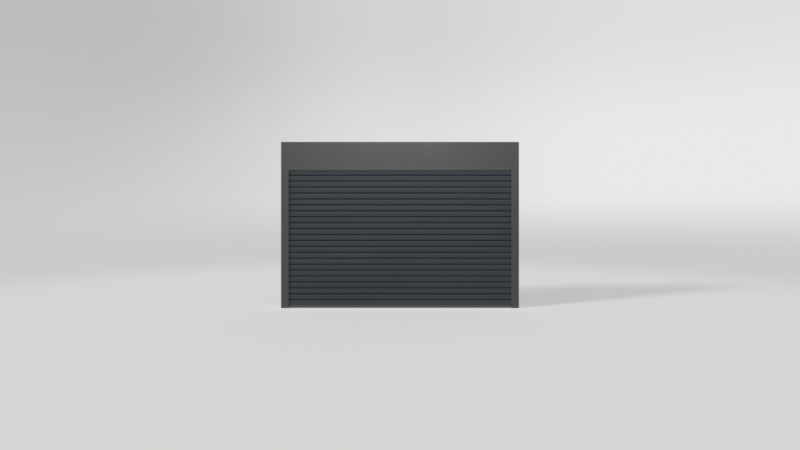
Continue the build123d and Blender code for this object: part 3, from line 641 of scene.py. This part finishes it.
def addOutline(bm, plane, corners):
    # corners are (y, z), (y, z, radius) or ("arc", centre, radius, start, sweep), in order round
    # the outline, or the whole outline is ("circle", centre, radius)
    if corners[0] == "circle":
        place = Matrix.Translation((plane, *corners[1])) @ Matrix.Rotation(math.radians(90), 4, "Y")
        bmesh.ops.create_circle(bm, segments=fineness["roundHole"], radius=corners[2], matrix=place)
        return
    ordered, rounded = [], {}
    for corner in corners:
        if corner[0] == "arc":
            ordered += spinArc(bm, plane, *corner[1:])
            continue
        vertex = bm.verts.new((plane, corner[0], corner[1]))
        ordered.append(vertex)
        if len(corner) == 3:
            rounded.setdefault(corner[2], []).append(vertex)
    bm.faces.new(ordered)
    for radius, vertices in rounded.items():
        roundOff(bm, vertices, radius, "VERTICES", fineness["corner"])
    bmesh.ops.delete(bm, geom=bm.faces[:], context="FACES_ONLY")


def fillBetween(bm, normal):  # one flat face between an outline and the holes in it
    edges = bm.edges[:]
    bmesh.ops.triangle_fill(bm, edges=edges, use_beauty=True, use_dissolve=False, normal=normal)


def carryOver(bm, made, materialIndex, placed=None):  # a shape goes into the piece's own mesh
    for face in made.faces:
        face.material_index = materialIndex
    bmesh.ops.recalc_face_normals(made, faces=made.faces[:])
    if placed:
        bmesh.ops.transform(made, matrix=placed, verts=made.verts[:])
    carried = bpy.data.meshes.new("carried")
    made.to_mesh(carried)
    made.free()
    bm.from_mesh(carried)
    bpy.data.meshes.remove(carried)


# where a section isn't drawn along x, these turn its y and z into the door's x and y, or x and z
planView = Matrix(((0, 1, 0, 0), (0, 0, 1, 0), (1, 0, 0, 0), (0, 0, 0, 1)))
backView = Matrix(((0, 1, 0, 0), (-1, 0, 0, 0), (0, 0, 1, 0), (0, 0, 0, 1)))


def addProfile(bm, start, end, outlines, materialIndex=0, placed=None):
    # a section drawn out along x; the first outline is the outer one
    flat = bmesh.new()
    for corners in outlines:
        addOutline(flat, start, corners)
    fillBetween(flat, (1, 0, 0))
    drawn = bmesh.ops.extrude_face_region(flat, geom=flat.faces[:], use_keep_orig=True)["geom"]
    moved = [g for g in drawn if isinstance(g, bmesh.types.BMVert)]
    bmesh.ops.translate(flat, verts=moved, vec=(end - start, 0, 0))
    carryOver(bm, flat, materialIndex, placed)


def addHead(bm, head, placed, materialIndex=0):
    # a round head from the top down: its steps are the radius and height of each turn, and its
    # recess is cut into the top
    made = bmesh.new()
    outside = [(radius * mm, height * mm) for radius, height in head["steps"]]
    top, hollow = outside[0][1], head["recess"] * mm
    loops = []
    for sides, radius in ((head["sides"], hollow), (fineness["roundHole"], outside[0][0])):
        verts = bmesh.ops.create_circle(made, segments=sides, radius=radius)["verts"]
        loops.append([edge for edge in made.edges if edge.verts[0] in verts])
    bmesh.ops.translate(made, verts=made.verts[:], vec=(0, 0, top))
    fillBetween(made, (0, 0, 1))
    inside = [(hollow, top), (hollow, top - head["deep"] * mm)]
    for edges, steps in zip(loops, (inside, outside)):
        for (radius, height), (nextRadius, nextHeight) in zip(steps, steps[1:]):
            drawn = bmesh.ops.extrude_edge_only(made, edges=edges)["geom"]
            moved = [g for g in drawn if isinstance(g, bmesh.types.BMVert)]
            lines = [g for g in drawn if isinstance(g, bmesh.types.BMEdge)]
            edges = [edge for edge in lines if all(vertex in moved for vertex in edge.verts)]
            share = nextRadius / radius
            bmesh.ops.scale(made, verts=moved, vec=(share, share, 1))
            bmesh.ops.translate(made, verts=moved, vec=(0, 0, nextHeight - height))
        bmesh.ops.edgeloop_fill(made, edges=edges)
    carryOver(bm, made, materialIndex, placed)


def softenEdges(bm, picked, radius, steps=2):
    # picked says of a corner's place whether it is on an edge to round
    edges = [edge for edge in bm.edges if all(picked(vertex.co) for vertex in edge.verts)]
    roundOff(bm, edges, radius, "EDGES", steps)


def finishPiece(name, bm, materials, body, replaced):
    for face in bm.faces:
        face.smooth = True
    for edge in bm.edges:
        if len(edge.link_faces) == 2 and edge.calc_face_angle() > math.radians(shade["sharp"]):
            edge.smooth = False
    mesh = bpy.data.meshes.new(name)
    bm.to_mesh(mesh)
    bm.free()
    piece = bpy.data.objects.new(name, mesh)
    bpy.context.scene.collection.objects.link(piece)
    for material in materials:
        mesh.materials.append(material)
    shading = piece.modifiers.new("flatFaces", "WEIGHTED_NORMAL")
    shading.weight = shade["weight"]
    shading.keep_sharp = True
    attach(piece, body)
    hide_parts(*replaced)


# slats

slat = {
    "thick": 19 * mm,
    "body": 68 * mm,
    "crown": 2.2 * mm,
    "wall": 1.3 * mm,
    "corner": 4.5 * mm,
    "cornerCut": 4.05 * mm,
    "rearCorner": 1.2 * mm,
    "web": 38.08 * mm,
    "beadRadius": 3.2 * mm,
    "beadNeck": 1.8 * mm,
    "beadBack": 3 * mm,
    "beadRise": 13.9 * mm,
    "socketRadius": 3.5 * mm,
    "socketHeight": 4.9 * mm,
    "socketSlot": 4 * mm,
    "lockPlate": 4 * mm,
    "lockInset": 0.5 * mm,
    "lockFoot": 24 * mm,
    "lockCorner": 1 * mm,
    "lockPlay": 0.8 * mm,
    "lockGap": 0.03 * mm,
}


def beadCorners(base, top):  # up the neck, round the bead and down again, front to back
    y, radius, half = door["curtainY"] + slat["beadBack"], slat["beadRadius"], slat["beadNeck"] / 2
    neckTurn = math.degrees(math.asin(half / radius))
    return [
        (y - half, base),
        ("arc", (y, top), radius, -90 - neckTurn, -(360 - 2 * neckTurn)),
        (y + half, base),
    ]


def crownArc(inset, low, high):  # the crowned front, up from one height above the foot to another
    half = slat["body"] / 2
    radius = (half**2 + slat["crown"] ** 2) / (2 * slat["crown"])
    centre = door["curtainY"] - slat["thick"] / 2 + radius
    inner = radius - inset
    lowTurn = math.degrees(math.asin((low - half) / inner))
    highTurn = math.degrees(math.asin((high - half) / inner))
    return centre, inner, 180 - lowTurn, lowTurn - highTurn


def slatOutlines(z):
    y, half, body, wall = door["curtainY"], slat["thick"] / 2, slat["body"], slat["wall"]
    socketY, socketZ = y + slat["beadBack"], z + slat["socketHeight"]
    slotHalf = slat["socketSlot"] / 2
    mouth = math.degrees(math.asin(slotHalf / slat["socketRadius"]))
    # the front corners are rounded, so the crown starts and ends a corner's length in
    corner = slat["corner"]
    centre, radius, start, sweep = crownArc(0, corner, body - corner)
    outer = [
        (y - half + slat["crown"], z, slat["cornerCut"]),
        ("arc", (centre, z + body / 2), radius, start, sweep),
        (y - half + slat["crown"], z + body, slat["cornerCut"]),
        *beadCorners(z + body, z + body + slat["beadRise"]),
        (y + half, z + body, slat["rearCorner"]),
        (y + half, z, slat["rearCorner"]),
        (socketY + slotHalf, z),
        ("arc", (socketY, socketZ), slat["socketRadius"], -90 + mouth, 360 - 2 * mouth),
        (socketY - slotHalf, z),
    ]
    boss = slat["socketRadius"] + wall
    bossTop = slat["socketHeight"] + slat["socketRadius"]
    bossRight = math.degrees(math.asin(slat["socketRadius"] / boss))
    bossLeft = 180 + math.degrees(math.asin((slat["socketHeight"] - wall) / boss))
    webLow, webHigh = slat["web"] - wall / 2, slat["web"] + wall / 2
    centre, radius, start, sweep = crownArc(wall, wall, webLow)
    lower = [
        ("arc", (centre, z + body / 2), radius, start, sweep),
        (y + half - wall, z + webLow),
        (y + half - wall, z + bossTop),
        ("arc", (socketY, socketZ), boss, bossRight, bossLeft - bossRight),
    ]
    centre, radius, start, sweep = crownArc(wall, webHigh, body - wall)
    upper = [
        ("arc", (centre, z + body / 2), radius, start, sweep),
        (y + half - wall, z + body - wall),
        (y + half - wall, z + webHigh),
    ]
    return [outer, lower, upper]


def lockOutline(z):  # the end lock's plate, cut away round the socket
    y, half, body, inset = door["curtainY"], slat["thick"] / 2, slat["body"], slat["lockInset"]
    centre, radius, start, sweep = crownArc(inset, 2 * inset, body - 2 * inset)
    socketY, socketZ = y + slat["beadBack"], z + slat["socketHeight"]
    boss = slat["socketRadius"] + slat["wall"]
    cut = slat["socketRadius"]
    turn = 180 + math.degrees(math.acos(cut / boss))
    return [
        ("arc", (centre, z + body / 2), radius, start, sweep),
        (y + half - inset, z + body - inset, slat["rearCorner"]),
        (y + half - inset, socketZ, slat["rearCorner"]),
        ("arc", (socketY, socketZ), boss, 0, turn),
        (socketY - cut, z + inset),
    ]


def makeSlat(number, material):
    z = door["firstSlat"] + (number - 1) * door["pitch"]
    bm = bmesh.new()
    addProfile(bm, -slatEnd, slatEnd, slatOutlines(z))
    if number % 2 == 1:
        low = slat["web"] + slat["wall"] / 2 + slat["lockPlay"]
        high = slat["body"] - slat["wall"] - slat["lockPlay"]
        reach = slat["thick"] / 2 - slat["crown"] - slat["wall"] - slat["lockPlay"]
        y, corner = door["curtainY"], slat["lockCorner"]
        foot = [
            (y - reach, z + low, corner),
            (y - reach, z + high, corner),
            (y + reach, z + high, corner),
            (y + reach, z + low, corner),
        ]
        for side in (-1, 1):
            face = side * (slatEnd + slat["lockGap"])
            addProfile(bm, face, face + side * slat["lockPlate"], [lockOutline(z)], 1)
            addProfile(bm, face - side * slat["lockFoot"], face, [foot], 1)
    name, node = f"slat{number:02d}Profile", f"slat_{number:02d}"
    finishPiece(name, bm, [material, slidePlastic], node, (node,))


slatBox = (
    (-slatEnd, door["curtainY"] - slatHalf, 0),
    (slatEnd, door["curtainY"] + slatHalf, door["top"]),
)
slatCoat = powderCoat("slatCoat", slatPaint, slatBox, alongX)
for number in range(1, door["slatCount"] + 1):
    makeSlat(number, slatCoat)
print("slats made:", door["slatCount"])


# bottom rail, its rubber edge and what is screwed to it

lastRail = {
    "low": 37 * mm,
    "high": 101 * mm,
    "corner": 1.5 * mm,
    "wall": 1.6 * mm,
    "chamberCorner": 1 * mm,
    "slotHead": 12 * mm,
    "slotHeadHigh": 4 * mm,
    "slotNeck": 6 * mm,
    "slotLip": 1.8 * mm,
}

seal = {
    "high": 37 * mm,
    "corner": 3.5 * mm,
    "innerCorner": 1.1 * mm,
    "wall": 2.4 * mm,
    "half": 1.491,
    "gap": 0.3 * mm,
}


def makeBottomRail():
    y, half = door["curtainY"], slat["thick"] / 2
    low, high, wall = lastRail["low"], lastRail["high"], lastRail["wall"]
    neck, head = lastRail["slotNeck"] / 2, lastRail["slotHead"] / 2
    lip, slotTop = low + lastRail["slotLip"], low + lastRail["slotLip"] + lastRail["slotHeadHigh"]
    outer = [
        (y - half, low, lastRail["corner"]),
        (y - half, high, lastRail["corner"]),
        *beadCorners(high, high + slat["beadRise"]),
        (y + half, high, lastRail["corner"]),
        (y + half, low, lastRail["corner"]),
        (y + neck, low),
        (y + neck, lip),
        (y + head, lip),
        (y + head, slotTop),
        (y - head, slotTop),
        (y - head, lip),
        (y - neck, lip),
        (y - neck, low),
    ]
    left, right, corner = y - half + wall, y + half - wall, lastRail["chamberCorner"]
    web = (slotTop + high) / 2
    holes = [
        [(left, a, corner), (left, b, corner), (right, b, corner), (right, a, corner)]
        for a, b in ((slotTop + wall, web - wall / 2), (web + wall / 2, high - wall))
    ]
    bm = bmesh.new()
    addProfile(bm, -slatEnd, slatEnd, [outer, *holes])
    box = ((-slatEnd, y - half, low), (slatEnd, y + half, high))
    coat = powderCoat("bottomRailCoat", slatPaint, box, alongX)
    finishPiece("bottomRailProfile", bm, [coat], "bottom_rail", ("bottom_rail",))


def makeSeal():
    y, half, wall = door["curtainY"], slat["thick"] / 2, seal["wall"]
    neck = lastRail["slotNeck"] / 2 - seal["gap"]
    head = lastRail["slotHead"] / 2 - seal["gap"]
    lip = seal["high"] + lastRail["slotLip"] + seal["gap"]
    top = seal["high"] + lastRail["slotLip"] + lastRail["slotHeadHigh"] - seal["gap"]
    outer = [
        (y - half, 0, seal["corner"]),
        (y - half, seal["high"]),
        (y - neck, seal["high"]),
        (y - neck, lip),
        (y - head, lip),
        (y - head, top),
        (y + head, top),
        (y + head, lip),
        (y + neck, lip),
        (y + neck, seal["high"]),
        (y + half, seal["high"]),
        (y + half, 0, seal["corner"]),
    ]
    left, right, corner = y - half + wall, y + half - wall, seal["innerCorner"]
    shelf, roof = seal["high"] / 2, seal["high"] - wall
    holes = [
        [(left, wall, corner), (left, shelf), (right, shelf), (right, wall, corner)],
        [(left, shelf + wall), (left, roof), (right, roof), (right, shelf + wall)],
    ]
    bm = bmesh.new()
    addProfile(bm, -seal["half"], seal["half"], [outer, *holes])
    finishPiece("rubberEdge", bm, [sealRubber], "bottom_rail", ("bottom_seal",))


makeBottomRail()
makeSeal()
print("bottom rail and rubber edge made")


# box covers, bent from sheet

cover = {
    "sheet": 1.5 * mm,
    "bend": 2.6 * mm,
    "frontReturn": 30 * mm,
    "mouthFront": 7 * mm,
    "mouthRear": 40 * mm,
    "lip": 15 * mm,
    "lipHalf": 1.5197,
    "mouthHalf": 1.429,
    "butt": 0.4 * mm,
    "rimMiddle": 1.529,
    "screwHole": 2.1 * mm,
    "screwDepths": (-0.1152, 0.018, 0.1512),
    "glandHole": 8.1 * mm,
    "glandPlace": (1.482, 0.140),
    "rivetHole": 3.4 * mm,
    "rivetRow": 13,
    "rivetSpan": 1.45,
    "rivetDepths": (-0.105, 0.018, 0.130),
    "rivetHeights": (1.844, 1.969, 2.094),
    "fixingHole": 4.1 * mm,
    "fixingRow": 7,
    "fixingSpan": 1.35,
    "fixingHeight": 1.793,
}

# heads in millimetres; their steps from the top are radius and height above the face they sit on
coverRivet = {
    "sides": 12,
    "recess": 1.1,
    "deep": 0.7,
    "steps": ((2.7, -0.08), (3.15, -0.2), (3.25, -0.4), (3.25, -1.45)),
}
coverFixing = {
    "sides": 6,
    "recess": 2.0,
    "deep": 1.1,
    "steps": ((3.5, -0.08), (3.85, -0.25), (3.95, -0.5), (3.95, -1.45)),
}
coverScrew = {
    "sides": 6,
    "recess": 1.9,
    "deep": 1.4,
    "steps": ((2.9, 2.4), (3.7, 2.15), (4.25, 1.6), (4.5, 0.8), (4.5, 0), (2.0, 0), (2.0, -4.5)),
}
facingDown = Matrix.Rotation(math.radians(180), 4, "X")
facingRear = Matrix.Rotation(math.radians(-90), 4, "X")
touching = 0.02 * mm


def spread(count, span):  # evenly from -span to span
    return [-span + 2 * span * n / (count - 1) for n in range(count)]


def near(value, target):
    return abs(value - target) < touching


def circles(places, radius):
    return [("circle", place, radius) for place in places]


def oblong(low, high):
    return [low, (high[0], low[1]), high, (low[0], high[1])]


def sheetCorners(line, inward):
    # line is a bent sheet's outer line; inward tells for each of its points where the inner lies
    outer, back = [], []
    for n, (y, z) in enumerate(line):
        moved = (y + inward[n][0] * cover["sheet"], z + inward[n][1] * cover["sheet"])
        bent = 0 < n < len(line) - 1
        outer.append((y, z, cover["bend"]) if bent else (y, z))
        back.insert(0, (*moved, cover["bend"] - cover["sheet"]) if bent else moved)
    return outer + back


def makeCovers():
    front, rear, low, top = door["front"], door["rear"], door["opening"], door["top"]
    half, joint = door["halfWidth"], front + cover["frontReturn"]
    frontLine = [(joint, top), (front, top), (front, low), (front + cover["mouthFront"], low)]
    bm = bmesh.new()
    addProfile(bm, -half, half, [sheetCorners(frontLine, [(0, -1), (1, -1), (1, 1), (0, 1)])])
    box = ((-half, front, low), (half, joint, top))
    coat = powderCoat("frontCoverCoat", framePaint, box, sheet)
    finishPiece("frontCoverSheet", bm, [coat], "frame", ("box_front_cover",))

    # the top sheet butts against the front cover; rivets hold it to a strip under the joint and to
    # the rear cover's lip
    thick, lip, lipHalf = cover["sheet"], cover["lip"], cover["lipHalf"]
    rearEnd = rear - thick
    row = spread(cover["rivetRow"], cover["rivetSpan"])
    sides = (-cover["rimMiddle"], cover["rimMiddle"])
    topRivets = [(x, y) for x in row for y in (joint + lip / 2, rearEnd - lip / 2)]
    topRivets += [(x, y) for x in sides for y in cover["rivetDepths"]]
    bm = bmesh.new()
    plate = [oblong((-half, joint), (half, rearEnd)), *circles(topRivets, cover["rivetHole"])]
    addProfile(bm, top - thick, top, plate, placed=planView)
    softenEdges(
        bm, lambda co: near(co.z, top) and (near(co.y, joint) or near(co.y, rearEnd)), cover["butt"]
    )
    strip = oblong((joint - lip, top - 2 * thick), (joint + lip, top - thick))
    addProfile(bm, -lipHalf, lipHalf, [strip])
    for x, y in topRivets:
        addHead(bm, coverRivet, Matrix.Translation((x, y, top)), 1)
    box = ((-half, joint, top - thick), (half, rearEnd, top))
    coat = powderCoat("topCoverCoat", framePaint, box, sheet)
    finishPiece("topCoverSheet", bm, [coat, rivetCoat], "frame", ("box_top_cover",))

    # the rear sheet is riveted to the side plates and screwed to the bottom cover's lip
    rearRivets = [(x, z) for x in sides for z in cover["rivetHeights"]]
    fixings = [(x, cover["fixingHeight"]) for x in spread(cover["fixingRow"], cover["fixingSpan"])]
    bm = bmesh.new()
    plate = [
        oblong((-half, low), (half, top)),
        *circles(rearRivets, cover["rivetHole"]),
        *circles(fixings, cover["fixingHole"]),
    ]
    addProfile(bm, -rear, thick - rear, plate, placed=backView)
    softenEdges(
        bm, lambda co: near(co.y, rear) and (near(co.z, top) or near(co.z, low)), cover["butt"]
    )
    strip = oblong((rearEnd - lip, top - 2 * thick), (rearEnd, top - thick))
    addProfile(bm, -lipHalf, lipHalf, [strip])
    for x, z in rearRivets:
        addHead(bm, coverRivet, Matrix.Translation((x, rear, z)) @ facingRear, 1)
    for x, z in fixings:
        addHead(bm, coverFixing, Matrix.Translation((x, rear, z)) @ facingRear, 1)
    box = ((-half, rearEnd, low), (half, rear, top))
    coat = powderCoat("rearCoverCoat", framePaint, box, sheet)
    finishPiece("rearCoverSheet", bm, [coat, rivetCoat], "frame", ("box_rear_cover",))

    # the bottom cover comes off for work on the motor: it has six screws, a lip along each side and
    # a hole for the gland
    mouth = front + cover["mouthRear"]
    screws = [(x, y) for x in sides for y in cover["screwDepths"]]
    bm = bmesh.new()
    plate = [
        oblong((-half, mouth), (half, rearEnd)),
        *circles(screws, cover["screwHole"]),
        *circles([cover["glandPlace"]], cover["glandHole"]),
    ]
    addProfile(bm, low, low + thick, plate, placed=planView)
    softenEdges(bm, lambda co: near(co.z, low) and near(co.y, mouth), cover["bend"] / 2, 3)
    lips = ((mouth, cover["mouthHalf"]), (rearEnd - thick, lipHalf))
    for y, reach in lips:
        addProfile(bm, -reach, reach, [oblong((y, low + thick), (y + thick, low + thick + lip))])
    box = ((-half, mouth, low), (half, rearEnd, low + thick + lip))
    coat = powderCoat("bottomCoverCoat", framePaint, box, sheet)
    finishPiece("bottomCoverSheet", bm, [coat], "frame", ("box_bottom_cover",))
    bm = bmesh.new()
    for x, y in screws:
        addHead(bm, coverScrew, Matrix.Translation((x, y, low)) @ facingDown)
    finishPiece("coverScrewSet", bm, [brightSteel], "frame", ("cover_screws",))


# the screws that hold the two stops behind the bottom rail
stop = {"reach": 1.2996, "height": 77.7 * mm, "thick": 7 * mm}
stopScrew = {
    "sides": 6,
    "recess": 2.4,
    "deep": 1.8,
    "steps": ((3.8, 3.0), (4.8, 2.6), (5.35, 1.8), (5.5, 0.9), (5.5, 0), (2.5, 0), (2.5, -8.6)),
}


def makeStopScrews():
    y = door["curtainY"] + slatHalf + stop["thick"]
    bm = bmesh.new()
    for x in (-stop["reach"], stop["reach"]):
        addHead(bm, stopScrew, Matrix.Translation((x, y, stop["height"])) @ facingRear)
    finishPiece("stopScrewSet", bm, [brightSteel], "bottom_rail", ("stop_screws",))


rivetPaint = {**framePaint, "wear": 0.0, "roughness": 0.42, "splash": 0.0}
doorBox = ((-door["halfWidth"], door["front"], 0), (door["halfWidth"], door["rear"], door["top"]))
rivetCoat = powderCoat("rivetCoat", rivetPaint, doorBox, sheet)
makeCovers()
makeStopScrews()
print("covers and their screws made")


# finishes of the CAD parts that stay

def coatNode(node, along=sheet):
    low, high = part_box(node)
    return powderCoat(node + "Coat", framePaint, (tuple(low), tuple(high)), along)


keptFinishes = {
    slidePlastic: [
        "slide_inserts_left", "slide_inserts_right", "rail_feet", "bottom_rail_end_caps",
    ],
    funnelPlastic: [
        "inlet_funnel_left", "inlet_funnel_right", "cable_gland", "motor_head", "idler_capsule",
        "limit_crown", "hanger_links",
    ],
    castAlloy: ["bearing_bracket", "drive_adapter"],
    brightSteel: [
        "bearing_outer_ring", "bearing_inner_ring", "bearing_balls", "idler_pin", "bracket_screws",
        "drive_shaft", "hanger_clips",
    ],
    galvanised: ["barrel", "motor_bracket"],
    sealRubber: ["bottom_stops"],
    tubeCoat: ["motor_tube"],
    **{coatNode(node, alongZ): [node] for node in ("guide_rail_left", "guide_rail_right")},
    **{coatNode(node): [node] for node in ("side_plate_left", "side_plate_right")},
}
for material, nodes in keptFinishes.items():
    for node in nodes:
        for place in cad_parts[node].material_slots:
            place.material = material
print("finishes given to the kept nodes")


# floor and background

studio = {
    "floor": tone(213, 213, 211),
    "floorFar": tone(201.8, 201.8, 201.3),
    # a lighter tone painted on the floor at the door's foot, as light that lifts the shade the door
    # casts there
    "floorPaintedLight": tone(220, 220, 218),
    "paintedLightReach": 0.55,
    "paintedLightSide": (1.95, 1.45),
    "fade": (4.5, 10.0),
    "radius": 14.0,
    "sides": 128,
    "roughness": 0.9,
    "litShare": 0.78,
    "glowShare": 0.61,
    "plain": 0.25,
    "horizon": 0.593,
    "horizonRise": (-0.055, 0.064),
    "left": (0.59, 0.512),
    "leftRise": 0.28,
    "leftReach": (-0.73, -0.45),
    "leftReachRise": 0.35,
    "right": (0.735, 0.81),
    "rightReach": 0.42,
    "dim": 0.085,
    "dimRise": (0.15, 0.38),
}


def shownRays(tree):  # 1 for rays that show the studio itself, 0 for those that carry its light
    rays = addNode(tree, "LightPath").outputs
    mirrored = maths(tree, "MAXIMUM", rays["Is Glossy Ray"], rays["Is Transmission Ray"])
    return maths(tree, "MAXIMUM", rays["Is Camera Ray"], mirrored)


def makeFloor():
    bm = bmesh.new()
    bmesh.ops.create_circle(bm, cap_ends=True, segments=studio["sides"], radius=studio["radius"])
    mesh = bpy.data.meshes.new("studioFloor")
    bm.to_mesh(mesh)
    bm.free()
    floor = bpy.data.objects.new("studioFloor", mesh)
    bpy.context.scene.collection.objects.link(floor)
    material, tree, shader, place = startMaterial("studioFloor")
    away = addNode(tree, "VectorMath", {0: place}, operation="LENGTH").outputs["Value"]
    colour = mixed(tree, ranged(tree, away, *studio["fade"]), studio["floor"], studio["floorFar"])
    parts = addNode(tree, "SeparateXYZ", {"Vector": place}).outputs
    # a pool of light painted on the floor before the door, which lifts the shade the door casts at
    # its foot
    toFront = maths(tree, "ABSOLUTE", maths(tree, "SUBTRACT", parts["Y"], door["front"]))
    acrossDoor = ranged(tree, maths(tree, "ABSOLUTE", parts["X"]), *studio["paintedLightSide"])
    paintedLight = maths(tree, "MULTIPLY", acrossDoor, ranged(tree, toFront, studio["paintedLightReach"], 0.0))
    colour = mixed(tree, paintedLight, colour, studio["floorPaintedLight"])
    # as a camera or a polished face sees it, part of the floor's tone is its own, so that shade
    # stays light
    shown = shownRays(tree)
    lit = maths(tree, "SUBTRACT", 1.0, maths(tree, "MULTIPLY", shown, 1 - studio["litShare"]))
    dimmed = addNode(tree, "VectorMath", {0: colour, "Scale": lit}, operation="SCALE").outputs[0]
    tree.links.new(dimmed, shader.inputs["Base Color"])
    tree.links.new(colour, shader.inputs["Emission Color"])
    glow = maths(tree, "MULTIPLY", shown, studio["glowShare"])
    tree.links.new(glow, shader.inputs["Emission Strength"])
    shader.inputs["Roughness"].default_value = studio["roughness"]
    shader.inputs["Specular IOR Level"].default_value = 0.0
    mesh.materials.append(material)


def makeWorld():
    world = bpy.data.worlds.new("studio")
    bpy.context.scene.world = world
    world.use_nodes = True
    tree = world.node_tree
    tree.nodes.clear()
    way = addNode(tree, "TexCoord").outputs["Generated"]
    parts = addNode(tree, "SeparateXYZ", {"Vector": way}).outputs
    # the backdrop is lighter to the right and darkens upwards, at the left from the horizon on
    onRight = ranged(tree, parts["X"], 0.0, studio["rightReach"], *studio["right"])
    dimming = ranged(tree, parts["Z"], *studio["dimRise"], 0.0, studio["dim"])
    high = maths(tree, "SUBTRACT", onRight, dimming)
    onLeft = ranged(tree, parts["Z"], 0.0, studio["leftRise"], *studio["left"], "LINEAR")
    toLeft = ranged(tree, parts["Z"], 0.0, studio["leftReachRise"], *studio["leftReach"], "LINEAR")
    sky = blended(tree, ranged(tree, parts["X"], 0.0, toLeft), high, onLeft)
    seen = blended(tree, ranged(tree, parts["Z"], *studio["horizonRise"]), studio["horizon"], sky)
    strength = blended(tree, shownRays(tree), studio["plain"], seen)
    background = addNode(tree, "Background", {"Color": (1, 1, 1, 1), "Strength": strength})
    out = tree.nodes.new("ShaderNodeOutputWorld")
    tree.links.new(background.outputs[0], out.inputs["Surface"])


makeFloor()
makeWorld()
print("floor and background made")
